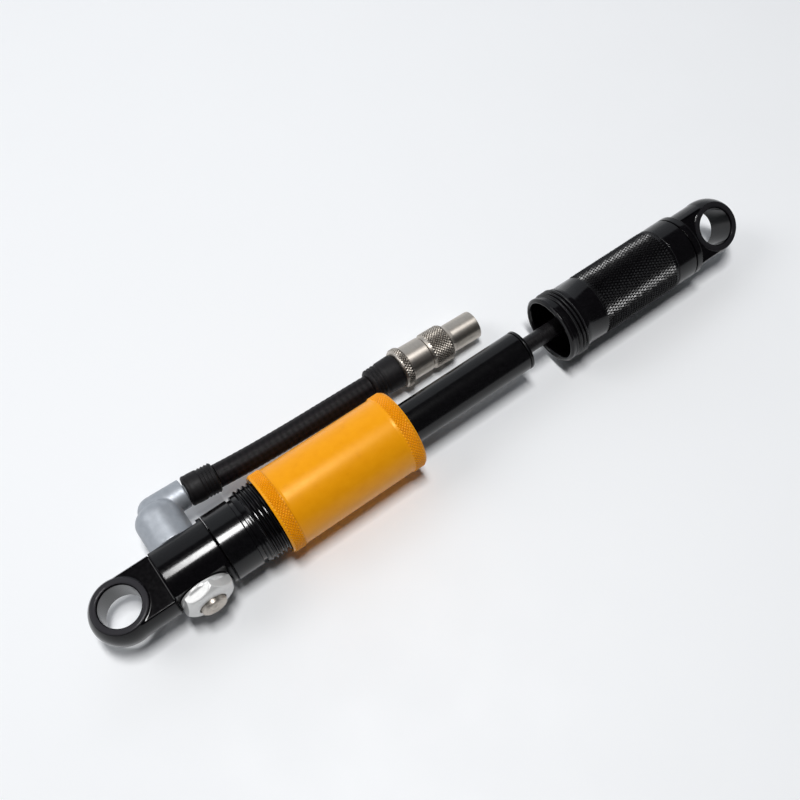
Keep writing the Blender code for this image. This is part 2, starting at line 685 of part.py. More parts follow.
def add_piston(frame, plastic, steel, rubber):
    radius = BARREL_BORE - RUN_GAP
    end = PISTON_X + PISTON_LENGTH
    floor = BARREL_BORE - RING_ROOM
    groove_x = PISTON_X + (PISTON_LENGTH - RING_ROOM) / 2
    nut_radius = PISTON_PIN_RADIUS + SEAT_GAP + PISTON_NUT_WALL
    recess_end = PISTON_X + PISTON_NUT_LENGTH + 2 * SEAT_GAP
    outline = [
        (PISTON_X, nut_radius + RUN_GAP),
        (PISTON_X, radius),
        *groove(groove_x, radius, floor),
        (end, radius),
        (end, PISTON_PIN_RADIUS + RUN_GAP),
        (recess_end, PISTON_PIN_RADIUS + RUN_GAP),
        (recess_end, nut_radius + RUN_GAP),
    ]
    placed("piston", turned("piston", outline, SMALL_SIDES), plastic, frame)
    placed("piston_oring", rubber_ring("piston_oring", groove_x, floor), rubber, frame)
    nut_end = recess_end - RUN_GAP
    nut = tube(
        "piston_nut", nut_end - PISTON_NUT_LENGTH, nut_end, PISTON_PIN_RADIUS + SEAT_GAP, nut_radius, 12
    )
    placed("piston_nut", nut, steel, frame)


def add_handle(frame, black, steel, rubber):
    pin_x = PISTON_X + RUN_GAP
    shoulder_x = PISTON_X + PISTON_LENGTH + RUN_GAP
    rod_end = CAVITY_X + ROD_SOCKET - SEAT_GAP
    outline = [
        (pin_x, 0),
        (pin_x, PISTON_PIN_RADIUS),
        (shoulder_x, PISTON_PIN_RADIUS),
        (shoulder_x, ROD_RADIUS),
        (rod_end, ROD_RADIUS),
        (rod_end, 0),
    ]
    placed("piston_rod", turned("piston_rod", outline, SMALL_SIDES), steel, frame)

    thread_x = HANDLE_X + 2 * THREAD_LEAD
    thread_end = thread_x + THREAD_PITCH * (HANDLE_TURNS + 0.5) + THREAD_END
    root = THREAD_ROOT
    grip_x = HANDLE_X + GRIP_START
    grip_end = grip_x + GRIP_LENGTH
    tube_end = HANDLE_X + HANDLE_LENGTH
    before = [(HANDLE_X, HANDLE_BORE), (HANDLE_X, root - THREAD_LEAD), (HANDLE_X + THREAD_LEAD, root)]
    after = [
        (thread_end, HANDLE_RADIUS),
        (grip_x - GRIP_STEP, HANDLE_RADIUS),
        (grip_x, HANDLE_RADIUS + GRIP_STEP),
        (grip_end, HANDLE_RADIUS + GRIP_STEP),
        (grip_end + GRIP_STEP, HANDLE_RADIUS),
        (tube_end, HANDLE_RADIUS),
        (tube_end, HANDLE_BORE),
    ]
    mesh = threaded("handle_tube", before, thread_x, HANDLE_TURNS, root, after)
    placed("handle_tube", mesh, black, frame)

    bumper_radius = ROD_BORE + BUMPER_WALL
    bumper = tube("rod_bumper", BUMPER_X, BUMPER_X + BUMPER_THICKNESS, ROD_BORE, bumper_radius)
    placed("rod_bumper", bumper, rubber, frame)


def add_handle_end(frame, finish):
    spigot_x = END_RIM_X - END_SPIGOT
    spigot = HANDLE_BORE - SEAT_GAP
    outline = [
        (spigot_x, 0),
        (spigot_x, spigot),
        (END_RIM_X, spigot),
        (END_RIM_X, HANDLE_RADIUS),
        (END_FACE_X - END_EDGE, HANDLE_RADIUS),
        (END_FACE_X, HANDLE_RADIUS - END_EDGE),
        (END_FACE_X, 0),
    ]
    roll = (HANDLE_ROLL, 0, 0)
    end = placed("handle_end", turned("handle_end", outline), finish, frame, rotation=roll)
    disc, tongue, hole = eyelet_forms("handle_eye", HANDLE_TONGUE + END_WALL / 2)
    centre = (HANDLE_EYE_X, 0, 0)
    turned_back = (-HANDLE_ROLL, 0, math.pi)
    combine(end, "UNION", tool(tongue, frame, centre, turned_back))
    combine(end, "UNION", tool(disc, frame, centre, turned_back))
    combine(end, "DIFFERENCE", tool(hole, frame, centre, turned_back))
    cavity_radius = BARREL_RADIUS + GLAND_STEP + END_CAVITY_GAP
    cavity = bore("end_cavity", spigot_x - CUT_EXTRA, CAVITY_X, cavity_radius)
    socket = bore("rod_socket", spigot_x, CAVITY_X + ROD_SOCKET, ROD_RADIUS + SEAT_GAP, SMALL_SIDES)
    combine(end, "DIFFERENCE", tool(cavity, frame))
    combine(end, "DIFFERENCE", tool(socket, frame))


def add_bleed_valve(frame, silver, nickel, steel, rubber):
    centre = (CROSS_X, 0, 0)
    pin_bore = BLEED_PIN_RADIUS + RUN_GAP
    floor = SIDE_BORE - RING_ROOM
    groove_x = SIDE_FLAT - SIDE_WALL - RING_ROOM
    base = [
        (SIDE_INNER, pin_bore),
        (SIDE_INNER, STUD_RADIUS),
        *groove(groove_x, STUD_RADIUS, floor),
        (SIDE_SEAT, STUD_RADIUS),
        (SIDE_SEAT, BLEED_FLANGE_RADIUS),
        (HEX_BASE, BLEED_FLANGE_RADIUS),
        (HEX_BASE, BUTTON_BORE),
        (BLEED_FLOOR, BUTTON_BORE),
        (BLEED_FLOOR, pin_bore),
    ]
    corner = HEX_FLATS / math.sqrt(3)
    hexagon = [
        (corner * math.sin(HEX_TURN + side), corner * math.cos(HEX_TURN + side))
        for side in (math.radians(30 + 60 * step) for step in range(6))
    ]
    mouth = BUTTON_BORE + SEAT_GAP
    dome_start = HEX_FACE - HEX_DOME
    rim = [
        (dome_start + HEX_DOME * math.sin(t), mouth + (corner - mouth) * math.cos(t))
        for t in (math.radians(90 * step / ARC_STEPS) for step in range(ARC_STEPS + 1))
    ]
    dome = [(HEX_BASE - SEAT_GAP, BUTTON_BORE), (HEX_BASE - SEAT_GAP, corner), *rim, (HEX_FACE, BUTTON_BORE)]
    body = placed(
        "bleed_valve_body", prism("bleed_valve_body", hexagon, HEX_BASE - BLEED_WEB, HEX_FACE + CUT_EXTRA),
        silver, frame, centre, TO_NEAR_SIDE,
    )
    combine(body, "INTERSECT", tool(turned("hex_dome", dome), frame, centre, TO_NEAR_SIDE))
    combine(body, "UNION", tool(turned("bleed_base", base), frame, centre, TO_NEAR_SIDE))

    seal = rubber_ring("bleed_oring", groove_x, floor)
    placed("bleed_oring", seal, rubber, frame, centre, TO_NEAR_SIDE)

    edge_x = BUTTON_FACE - BUTTON_EDGE
    dish_x = BUTTON_FACE - BUTTON_DISH
    grip = BLEED_PIN_RADIUS + SEAT_GAP
    grip_x = BUTTON_INNER + BLEED_PIN_GRIP
    cap = [
        (grip_x, 0),
        (grip_x, grip),
        (BUTTON_INNER, grip),
        (BUTTON_INNER, BUTTON_RADIUS),
        *arc(edge_x, BUTTON_RADIUS - BUTTON_EDGE, BUTTON_EDGE, 90, 0, 3),
        (dish_x, BUTTON_NUB + BUTTON_EDGE),
        (dish_x, BUTTON_NUB),
        (dish_x + BUTTON_DISH * 0.7, BUTTON_NUB * 0.7),
        (BUTTON_FACE, 0),
    ]
    placed("bleed_button", turned("bleed_button", cap, SMALL_SIDES), nickel, frame, centre, TO_NEAR_SIDE)

    seal_end = SIDE_INNER - SEAT_GAP
    seal_x = seal_end - BLEED_SEAL_THICKNESS
    head_end = seal_x - SEAT_GAP
    head_x = head_end - BLEED_HEAD_THICKNESS
    head = BLEED_PIN_RADIUS + BLEED_HEAD_STEP
    pin_end = grip_x - SEAT_GAP
    pin = [
        (head_x, 0),
        (head_x, head),
        (head_end, head),
        (head_end, BLEED_PIN_RADIUS),
        (pin_end, BLEED_PIN_RADIUS),
        (pin_end, 0),
    ]
    placed("bleed_pin", turned("bleed_pin", pin, 12), steel, frame, centre, TO_NEAR_SIDE)
    disc = tube("bleed_seal", seal_x, seal_end, grip, head + SEAT_GAP, 16)
    placed("bleed_seal", disc, rubber, frame, centre, TO_NEAR_SIDE)
    spring = coil(
        "bleed_spring", BLEED_FLOOR + SEAT_GAP, BUTTON_INNER - SEAT_GAP,
        BLEED_SPRING_RADIUS, BLEED_WIRE_RADIUS, BLEED_SPRING_TURNS,
    )
    placed("bleed_spring", spring, steel, frame, centre, TO_NEAR_SIDE)


def add_stem(frame, steel, rubber):
    centre = (CROSS_X, 0, 0)
    collar = STUD_RADIUS + STEM_COLLAR_STEP
    collar_end = SIDE_SEAT + STEM_COLLAR_THICKNESS
    floor = STEM_RUN - RING_ROOM
    clip_floor = STUD_RADIUS - SNAP_BITE
    grooves = [collar_end + SIDE_WALL, collar_end + SIDE_WALL + STEM_RING_SPACING]
    outline = [(SIDE_INNER, STEM_BORE), (SIDE_INNER, STUD_RADIUS), (SIDE_SEAT, STUD_RADIUS)]
    outline += [(SIDE_SEAT, collar), (collar_end, collar), (collar_end, STUD_RADIUS)]
    for start in grooves:
        outline += groove(start, STUD_RADIUS, floor)
    clip_end = SNAP_Y + SNAP_THICKNESS + 2 * SEAT_GAP
    outline += [(SNAP_Y, STUD_RADIUS), (SNAP_Y, clip_floor), (clip_end, clip_floor), (clip_end, STUD_RADIUS)]
    outline += [(STEM_TOP, STUD_RADIUS), (STEM_TOP, STEM_BORE)]
    stem = turned("swivel_stem", outline, SMALL_SIDES)
    placed("swivel_stem", stem, steel, frame, centre, TO_FAR_SIDE)
    for name, start in zip(("stem_oring_inner", "stem_oring_outer"), grooves):
        placed(name, rubber_ring(name, start, floor), rubber, frame, centre, TO_FAR_SIDE)
    clip_start = SNAP_Y + SEAT_GAP
    clip = tube(
        "stem_snap_ring", clip_start, clip_start + SNAP_THICKNESS,
        clip_floor + SEAT_GAP, STEM_RUN + SNAP_BITE,
    )
    placed("stem_snap_ring", clip, steel, frame, centre, TO_FAR_SIDE)


def add_elbow(frame, finish):
    straight = SIDE_SEAT + HUB_STRAIGHT
    dome = arc(straight, HUB_RADIUS - HUB_ROUND, HUB_ROUND, 90, 0)
    hub = [(SIDE_SEAT, 0), (SIDE_SEAT, HUB_RADIUS), *dome, (straight + HUB_ROUND, 0)]
    elbow = placed("swivel_elbow", turned("swivel_elbow", hub), finish, frame, rotation=TO_FAR_SIDE)

    end = ELBOW_LENGTH + NIPPLE_LENGTH
    branch = [
        *arc(0, 0, ELBOW_RADIUS, 180, 90),
        (ELBOW_LENGTH, ELBOW_RADIUS),
        (ELBOW_LENGTH, NIPPLE_RADIUS),
        (end, NIPPLE_RADIUS),
        (end, 0),
    ]
    side = (0, ELBOW_SIDE, 0)
    combine(elbow, "UNION", tool(turned("elbow_branch", branch), frame, side))

    recess = STUD_RADIUS + STEM_COLLAR_STEP + RUN_GAP
    recess_end = SIDE_SEAT + STEM_COLLAR_THICKNESS + RUN_GAP
    clip = STEM_RUN + SNAP_BITE + RUN_GAP
    clip_end = SNAP_Y + SNAP_THICKNESS + 2 * SEAT_GAP
    hollow = [
        (SIDE_SEAT - CUT_EXTRA, 0),
        (SIDE_SEAT - CUT_EXTRA, recess),
        (recess_end, recess),
        (recess_end, STEM_RUN),
        (SNAP_Y, STEM_RUN),
        (SNAP_Y, clip),
        (clip_end, clip),
        (clip_end, STEM_RUN),
        (HUB_FLOOR, STEM_RUN),
        (HUB_FLOOR, ELBOW_BORE),
        (ELBOW_SIDE, ELBOW_BORE),
        (ELBOW_SIDE, 0),
    ]
    cutter = turned("stem_bore", hollow, SMALL_SIDES, phase=off_phase(SMALL_SIDES))
    combine(elbow, "DIFFERENCE", tool(cutter, frame, rotation=TO_FAR_SIDE))
    passage = bore("elbow_bore", -ELBOW_BORE / 2, end + CUT_EXTRA, ELBOW_BORE, SMALL_SIDES)
    combine(elbow, "DIFFERENCE", tool(passage, frame, side))


def boot(name, start, length, radius, ringed_start):
    """A rubber boot with a blind bore at one end and grooved rings at the other."""
    hole = NIPPLE_RADIUS + NIPPLE_GAP
    depth = NIPPLE_LENGTH + NIPPLE_GAP
    thin = radius - BOOT_TAPER
    outline = [(0, hole), (0, radius - BOOT_EDGE), *arc(BOOT_EDGE, radius - BOOT_EDGE, BOOT_EDGE, 150, 90, 2)]
    first = length - BOOT_EDGE - BOOT_GROOVE_PITCH * BOOT_GROOVE_COUNT
    for step in range(BOOT_GROOVE_COUNT):
        along = first + BOOT_GROOVE_PITCH * step
        outline += [
            (along, thin),
            (along + BOOT_GROOVE, thin - BOOT_GROOVE),
            (along + 2 * BOOT_GROOVE, thin),
        ]
    outline += [(length - BOOT_EDGE, thin), (length, thin - BOOT_EDGE), (length, 0)]
    outline += [(depth, 0), (depth, hole)]
    if ringed_start:
        outline = [(length - along, size) for along, size in outline]
    shifted = [(start + along, size) for along, size in outline]
    split = next(i for i, (_, size) in enumerate(shifted) if size == 0)
    return turned(name, shifted[split + 1:] + shifted[:split + 1], SMALL_SIDES)


def add_hose(swivel, rear_axis, chuck_axis, rubber):
    rear = boot("hose_boot_rear", REAR_BOOT_START, REAR_BOOT_LENGTH, REAR_BOOT_RADIUS, False)
    placed("hose_boot_rear", rear, rubber, rear_axis)
    front = boot("hose_boot_front", FRONT_BOOT_START, FRONT_BOOT_LENGTH, FRONT_BOOT_RADIUS, True)
    placed("hose_boot_front", front, rubber, chuck_axis)

    aim = Vector((math.cos(BOOT_TURN), -math.sin(BOOT_TURN), 0))
    root = Vector((ELBOW_LENGTH, ELBOW_SIDE, 0))
    start = root + aim * (REAR_BOOT_START + REAR_BOOT_LENGTH + SEAT_GAP)
    end = Vector((FRONT_BOOT_START - SEAT_GAP, CHUCK_SIDE, 0))
    ahead = start + aim * HOSE_EASE
    behind = end - Vector((HOSE_EASE, 0, 0))
    route = interpolate_bezier(start, ahead, behind, end, HOSE_POINTS)
    placed("hose", tube_curve("hose", route, HOSE_RADIUS, 3), rubber, swivel)


def add_chuck(axis, nickel, steel, rubber):
    nipple_x = FLANGE_START - NIPPLE_LENGTH
    clip_floor = SPINDLE_RADIUS - SNAP_BITE
    clip_end = CLIP_START + SNAP_THICKNESS + SEAT_GAP
    body = [
        (nipple_x, SPINDLE_BORE),
        (nipple_x, NIPPLE_RADIUS),
        (FLANGE_START, NIPPLE_RADIUS),
        (FLANGE_START, CHUCK_FLANGE_RADIUS - CHUCK_EDGE),
        (FLANGE_START + CHUCK_EDGE, CHUCK_FLANGE_RADIUS),
        (CHUCK_SMOOTH_START - CHUCK_EDGE, CHUCK_FLANGE_RADIUS),
        (CHUCK_SMOOTH_START, CHUCK_FLANGE_RADIUS - CHUCK_EDGE),
        (CHUCK_SMOOTH_START, CHUCK_BODY_RADIUS),
        (SPINDLE_START, CHUCK_BODY_RADIUS),
        (SPINDLE_START, SPINDLE_RADIUS),
        (CLIP_START, SPINDLE_RADIUS),
        (CLIP_START, clip_floor),
        (clip_end, clip_floor),
        (clip_end, SPINDLE_RADIUS),
        (SPINDLE_END, SPINDLE_RADIUS),
        (SPINDLE_END, SPINDLE_BORE),
    ]
    placed("chuck_body", turned("chuck_body", body, SMALL_SIDES), nickel, axis)

    run = SPINDLE_RADIUS + RUN_GAP
    clip_radius = run + SNAP_BITE
    clip_x = CLIP_START + SEAT_GAP / 2
    clip = tube("chuck_snap_ring", clip_x, clip_x + SNAP_THICKNESS, clip_floor + SEAT_GAP, clip_radius)
    placed("chuck_snap_ring", clip, steel, axis)

    web_end = WEB_START + NUT_WEB
    nut = [
        (NUT_START, run),
        (NUT_START, CHUCK_BAND_RADIUS - CHUCK_EDGE),
        (NUT_START + CHUCK_EDGE, CHUCK_BAND_RADIUS),
        (BAND_END - CHUCK_EDGE, CHUCK_BAND_RADIUS),
        (BAND_END, CHUCK_BAND_RADIUS - CHUCK_EDGE),
        (NOSE_START, NOSE_RADIUS),
        (NOSE_END - CHUCK_EDGE, NOSE_RADIUS),
        (NOSE_END, NOSE_RADIUS - CHUCK_EDGE),
        (NOSE_END, NOSE_BORE),
        (web_end, NOSE_BORE),
        (web_end, NUT_WEB_HOLE),
        (WEB_START, NUT_WEB_HOLE),
        (WEB_START, run),
        (clip_end + SEAT_GAP, run),
        (clip_end + SEAT_GAP, clip_radius + RUN_GAP),
        (CLIP_START - SEAT_GAP, clip_radius + RUN_GAP),
        (CLIP_START - SEAT_GAP, run),
    ]
    placed("chuck_nut", turned("chuck_nut", nut, SMALL_SIDES), nickel, axis)
    gasket_end = GASKET_START + GASKET_THICKNESS
    gasket = tube("chuck_gasket", GASKET_START, gasket_end, GASKET_HOLE, NOSE_BORE - SEAT_GAP)
    placed("chuck_gasket", gasket, rubber, axis)

    flange_end = PIN_FLANGE_START + CHUCK_PIN_FLANGE_THICKNESS
    shank = SPINDLE_BORE - SEAT_GAP
    pin = [
        (PIN_FLANGE_START - NIPPLE_LENGTH, 0),
        (PIN_FLANGE_START - NIPPLE_LENGTH, shank),
        (PIN_FLANGE_START, shank),
        (PIN_FLANGE_START, CHUCK_PIN_FLANGE),
        (flange_end, CHUCK_PIN_FLANGE),
        (flange_end, CHUCK_PIN_RADIUS),
        (flange_end + CHUCK_PIN_REACH, CHUCK_PIN_RADIUS),
        (flange_end + CHUCK_PIN_REACH, 0),
    ]
    placed("chuck_pin", turned("chuck_pin", pin, 12), steel, axis)


def build():
    clear_scene()
    satin_black = material("satin_black", (0.012, 0.012, 0.014), 0.38, 0.6)
    gloss_black = material("gloss_black", (0.010, 0.010, 0.012), 0.16, 0.6)
    orange = material("orange_anodised", (0.75, 0.24, 0.01), 0.3, 0.85)
    silver = material("satin_silver", (0.60, 0.60, 0.62), 0.4, 0.9)
    nickel = material("nickel_plate", (0.62, 0.58, 0.53), 0.22, 1.0)
    steel = material("bright_steel", (0.70, 0.70, 0.70), 0.2, 1.0)
    brass = material("brass", (0.72, 0.52, 0.20), 0.3, 1.0)
    plastic = material("white_plastic", (0.75, 0.74, 0.70), 0.5, 0.0)
    rubber = material("black_rubber", (0.015, 0.015, 0.015), 0.6, 0.0)

    pump = empty("pump_axis", (-MIDDLE_X, -MIDDLE_Y, REST_HEIGHT))
    handle = empty("handle_axis", parent=pump)
    swivel = empty("swivel_axis", (CROSS_X, 0, 0), (0, HOSE_DROOP, 0), pump)
    rear_axis = empty("rear_boot_axis", (ELBOW_LENGTH, ELBOW_SIDE, 0), (0, 0, -BOOT_TURN), swivel)
    chuck_axis = empty("chuck_axis", (0, CHUCK_SIDE, 0), parent=swivel)

    add_head(pump, satin_black)
    add_collar(pump, gloss_black, rubber)
    add_check_valve(pump, brass, steel)
    add_barrel(pump, gloss_black, brass, rubber)
    add_sleeve(pump, orange)
    add_bleed_valve(pump, silver, nickel, steel, rubber)
    add_stem(pump, steel, rubber)
    add_piston(handle, plastic, steel, rubber)
    add_handle(handle, satin_black, steel, rubber)
    add_handle_end(handle, satin_black)
    add_elbow(swivel, silver)
    add_hose(swivel, rear_axis, chuck_axis, rubber)
    add_chuck(chuck_axis, nickel, steel, rubber)


build()
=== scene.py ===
"""Looks of a small shock suspension pump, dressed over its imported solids.

In the sizes a pair of places is a start and an end, a step is a place and a radius, and a groove is a
start, an end and the radius of its floor.
"""

import json
import math
import random

import bmesh
import bpy
from mathutils import Matrix, Vector
from mathutils.geometry import interpolate_bezier


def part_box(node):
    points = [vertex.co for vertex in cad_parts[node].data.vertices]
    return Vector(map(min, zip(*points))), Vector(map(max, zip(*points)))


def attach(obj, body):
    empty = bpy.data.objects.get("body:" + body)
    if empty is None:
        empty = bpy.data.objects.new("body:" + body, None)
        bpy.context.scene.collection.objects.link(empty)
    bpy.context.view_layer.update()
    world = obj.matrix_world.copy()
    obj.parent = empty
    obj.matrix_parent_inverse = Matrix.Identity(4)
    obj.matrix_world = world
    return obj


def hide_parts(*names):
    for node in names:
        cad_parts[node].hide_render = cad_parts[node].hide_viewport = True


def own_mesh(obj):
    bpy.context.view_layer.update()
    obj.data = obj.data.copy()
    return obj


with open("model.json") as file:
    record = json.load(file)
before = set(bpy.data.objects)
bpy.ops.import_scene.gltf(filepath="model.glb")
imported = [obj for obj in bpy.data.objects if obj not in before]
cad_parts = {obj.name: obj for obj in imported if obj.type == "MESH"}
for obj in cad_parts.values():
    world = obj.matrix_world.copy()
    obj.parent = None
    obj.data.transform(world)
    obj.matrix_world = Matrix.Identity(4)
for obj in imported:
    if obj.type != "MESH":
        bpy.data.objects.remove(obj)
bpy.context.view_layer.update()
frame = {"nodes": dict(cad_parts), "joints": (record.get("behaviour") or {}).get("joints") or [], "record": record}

MM = 0.001
MICRON = 0.000001

# Sizes in millimetres, with places along the pump counted from the centre of the head's eyelet
EYE_RADIUS = 11.0
EYE_FACE = 9.0
EYE_HOLE = 6.9
EYE_HALF = 6.4
EYE_LIP = 0.5
TONGUE_WIDE = 10.8
TONGUE_FACE = 9.0
TONGUE_HALF = 5.9
HEAD_TONGUE_SINK = 2
HEAD_FRONT = 15.2
HEAD_REAR = 34.8
HEAD_RADIUS = 12.0
SIDE_FLAT = 8.6
FLAT_LEAD = 0.3
FLAT_END = 33.2
CROSS_X = 24.0
CROSS_BORE = 4.5
CHAMBER_RADIUS = 4.0
CHAMBER_START = 18.5
SOCKET_START = 29.5
SOCKET_RADIUS = 7.5

# The collar and its thread, whose shape is shares of the pitch and of the depth
COLLAR_SPIGOT = (29.8, 7.2)
COLLAR_SPIGOT_GROOVE = (30.8, 32.4, 5.9)
COLLAR_START = 35.1
COLLAR_RADIUS = 12.1
COLLAR_PASSAGE = 4.4
COLLAR_SHOULDER = 37.5
COLLAR_BORE = 7.8
COLLAR_UNDERCUT = (44.5, 45.9, 11.4)
COLLAR_LEAD = 0.2
COLLAR_TURNS = 6
COLLAR_PITCH = 1.6975
COLLAR_END = 58.07
COLLAR_TIP = 11.9
THREAD_ROOT = 12.3
THREAD_DEPTH = 0.8
THREAD_SHAPE = (
    (0.0, 0), (0.14, 0.42), (0.26, 0.78), (0.35, 0.95), (0.43, 1),
    (0.51, 0.95), (0.60, 0.78), (0.72, 0.42), (0.86, 0),
)
VALVE_COIL = 1.26
VALVE_WIRE = 0.2
VALVE_TURNS = 4.5

# The barrel, its gland cap and the rod
BARREL = (37.8, 158.8)
BARREL_RADIUS = 7.5
BARREL_BORE = 5.9
CAP_START = 149.8
CAP_SKIRT = 5.6
CAP_BORE = 4.75
CAP_RIM = (159.1, 7.6)
BUSH_END = 155.9
WIPER_SEAT = (156.9, 5.05)
PUMP_END = 160.2
ROD = (116.15, 241.2)
ROD_STEP = (125.15, 2.2)
ROD_RADIUS = 3.1
ROD_HOLE = 3.65

# The sleeve
SLEEVE = (54.2, 107.7)
SLEEVE_RADIUS = 14.82
SLEEVE_BORE = 13.45
SLEEVE_MOUTH = 13.85
SLEEVE_RIM = 14.2
SLEEVE_CHAMFER = 0.5
SLEEVE_BAND = 5.3
SLEEVE_KNURL = 0.34
SLEEVE_ROWS = 8
SLEEVE_SINK = 0.45
SLEEVE_GROOVE = 0.05
SLEEVE_INSIDE = 8
SLEEVE_COLUMNS = 144

# The handle and its grip, whose pyramids stand out, lie deep and vary by these amounts
HANDLE = (173.0, 233.4)
HANDLE_RADIUS = 12.0
HANDLE_BORE = 11.0
HANDLE_REAR_BORE = 11.3
HANDLE_TURNS = 4
HANDLE_PITCH = 1.4875
HANDLE_ROOT = THREAD_ROOT - 0.1
HANDLE_LIP = THREAD_ROOT + 0.55
HANDLE_MOUTH = (
    (1, HANDLE_BORE), (0.3, HANDLE_BORE + 0.3), (0, HANDLE_BORE + 0.6), (0, THREAD_ROOT - 0.2),
    (0.6, HANDLE_LIP), (1.5, HANDLE_LIP), (1.7, HANDLE_ROOT), (2.0, HANDLE_ROOT),
)
HANDLE_THREAD = 2.1
HANDLE_PLAIN = 9.9
GRIP = (190.8, 224.8)
GRIP_COLUMNS = 132
GRIP_ROWS = 28
GRIP_LEAD = 0.2
GRIP_OUT = 0.2
GRIP_DEEP = 0.35
GRIP_UNEVEN = 0.09
GRIP_ROUGHER = 0.13
END_RIM = 233.7
END_FACE = 236.9
END_CHAMFER = 0.5
END_TONGUE_SINK = 0.3
CAVITY_END = 236.3
CAVITY_RADIUS = 8.6
SPIGOT_START = 229.7
SPIGOT_RADIUS = 10.7
ROD_SOCKET = (241.5, 3.4)
HANDLE_EYE = 250.1
HANDLE_ROLL = math.radians(35)

# Sizes out from the pump's axis at the head's sides. The dish is depths in the button's face with radii.
SIDE_SEAT = 8.9
BLEED_STEM = (4.6, 4.2)
BLEED_GROOVE = (6.0, 7.6, 2.9)
BLEED_BORE = 1.45
BLEED_WEB = 0.5
BLEED_COIL = 3.2
BLEED_WIRE = 0.22
BLEED_TURNS = 3.5
HEX_FLANGE = 8.5
HEX_START = 10.1
HEX_SINK = 0.3
HEX_SPARE = 0.5
HEX_BORE = 4.7
HEX_MOUTH = 5.0
HEX_DOME = 3.4
HEX_FLATS = 16.0
HEX_FACE = 14.4
HEX_TURN = math.radians(-16)
BUTTON_BACK = 13.2
BUTTON_PIT = (14.4, 1.4)
BUTTON_RADIUS = 4.35
BUTTON_EDGE = 0.6
BUTTON_FACE = 16.2
BUTTON_DISH = ((0, 3.6), (0.35, 2.6), (0.6, 1.9), (0.45, 1.5), (0.1, 0.8), (0, 0))
HUB_RADIUS = 8.05
HUB_STRAIGHT = 19.8
HUB_DOME = 5.0
STEM_MOUTH = (10.05, 5.75)
STEM_GROOVE = (16.2, 17.7, 5.5)
STEM_END = 18.65
STEM_BORE = 4.55
ELBOW_RADIUS = 5.15
ELBOW_SIDE = 23.5
ELBOW_LENGTH = 11.6
ELBOW_BARB = (4, 2.6)
ELBOW_PASSAGE = 1.9

# Sizes along the hose from the hub, or from the nearer end of a boot, a flange or a band
BOOT_TURN = math.radians(4)
BOOT_POCKET = (4.7, 3.3)
REAR_BOOT = (0.684, 11.684)
REAR_CUFF = ((0, 5.0), (0.6, 5.45), (1.6, 5.3), (2.6, 5.42), (5.4, 5.4))
REAR_RING = ((5.8, 5.1), (6.25, 5.1), (6.45, 5.38), (6.75, 5.38))
REAR_RING_PITCH = 1.2
REAR_RINGS = 4
REAR_TIP = ((-0.2, 5.0), (0, 4.4))
FRONT_BOOT = (85.784, 97.584)
FRONT_TIP = ((0, 4.5), (0.3, 5.3))
FRONT_RING = ((0.9, 5.75), (1.4, 5.75), (1.6, 5.45), (2.0, 5.45))
FRONT_RING_PITCH = 1.4
FRONT_RING_GROWTH = 0.08
FRONT_RINGS = 3
FRONT_CUFF = ((-6.2, 6.05), (-1.2, 6.3), (-0.2, 6.25), (0, 5.9))
HOSE_RADIUS = 4.25
HOSE_EASE = 20.0
HOSE_GAP = 0.3
HOSE_ROWS = 113
HOSE_COLUMNS = 48
WEAVE_AROUND = 12
WEAVE_ROWS = 4
WEAVE_DEPTH = 0.16
CHUCK_SIDE = 22.1
CHUCK_BORE = 1.5
CHUCK_TAIL = (4, 2.6)
FLANGE = (97.884, 101.284)
FLANGE_EDGE = 6.9
FLANGE_LEAD = (0.35, 7.2)
FLANGE_KNURL = (7.25, 7.58)
FLANGE_ROWS = 4
FLANGE_BACK = (0.05, 6.6)
CHUCK_SMOOTH = 109.784
CHUCK_RADIUS = 6.55
CHUCK_SPIGOT = 4.2
SNAP_GROOVE = (115.38, 116.58, 3.6)
CHUCK_END = 117.18
NUT_START = 110.134
NUT_BORE = 4.55
NUT_EDGE = 6.1
NUT_LEAD = (0.9, 6.62)
NUT_KNURL = (6.64, 6.98)
NUT_ROWS = 13
NUT_FLOOR = 118.98
NUT_WEB = 119.68
PIN_HOLE = 2.0
BAND_END = 119.934
NOSE_RADIUS = 5.4
NUT_NECK = ((-0.2, 6.2), (0.1, 5.75), (0.9, NOSE_RADIUS))
NOSE_BORE = 3.9
NOSE_END = 132.334

# How far a cutter passes what it cuts, and the angle past which an edge is sharp
SPARE = 1
SHARP = math.radians(32)

# How far a surface bends, in radians, where an edge begins to lose its shine and where it has lost it
EDGE_BEND_START = 0.06
EDGE_BEND_END = 0.18

# The camera's place in millimetres from the head's eyelet, and the way from the pump to it
CAMERA_PLACE = (22.72, -116.04, 310.23)
CAMERA_BACK = (-0.262, -0.361, 0.895)
CAMERA_LENS = 45
CAMERA_SENSOR = 36

# The set, in metres, and the heights of its pale wall and its dim room in degrees round the arch
FLOOR_HALF = 4
FLOOR_DROP = 0.00005
ROOM_RADIUS = 1.6
ROOM_HALF_LENGTH = 3.0
WALL_FOOT = 1
WALL_TOP = 55
ROOM_FOOT = 179
ARCH_STEPS = 16
WORLD_LIGHT = 0.04
WORLD_SEEN = 1.0

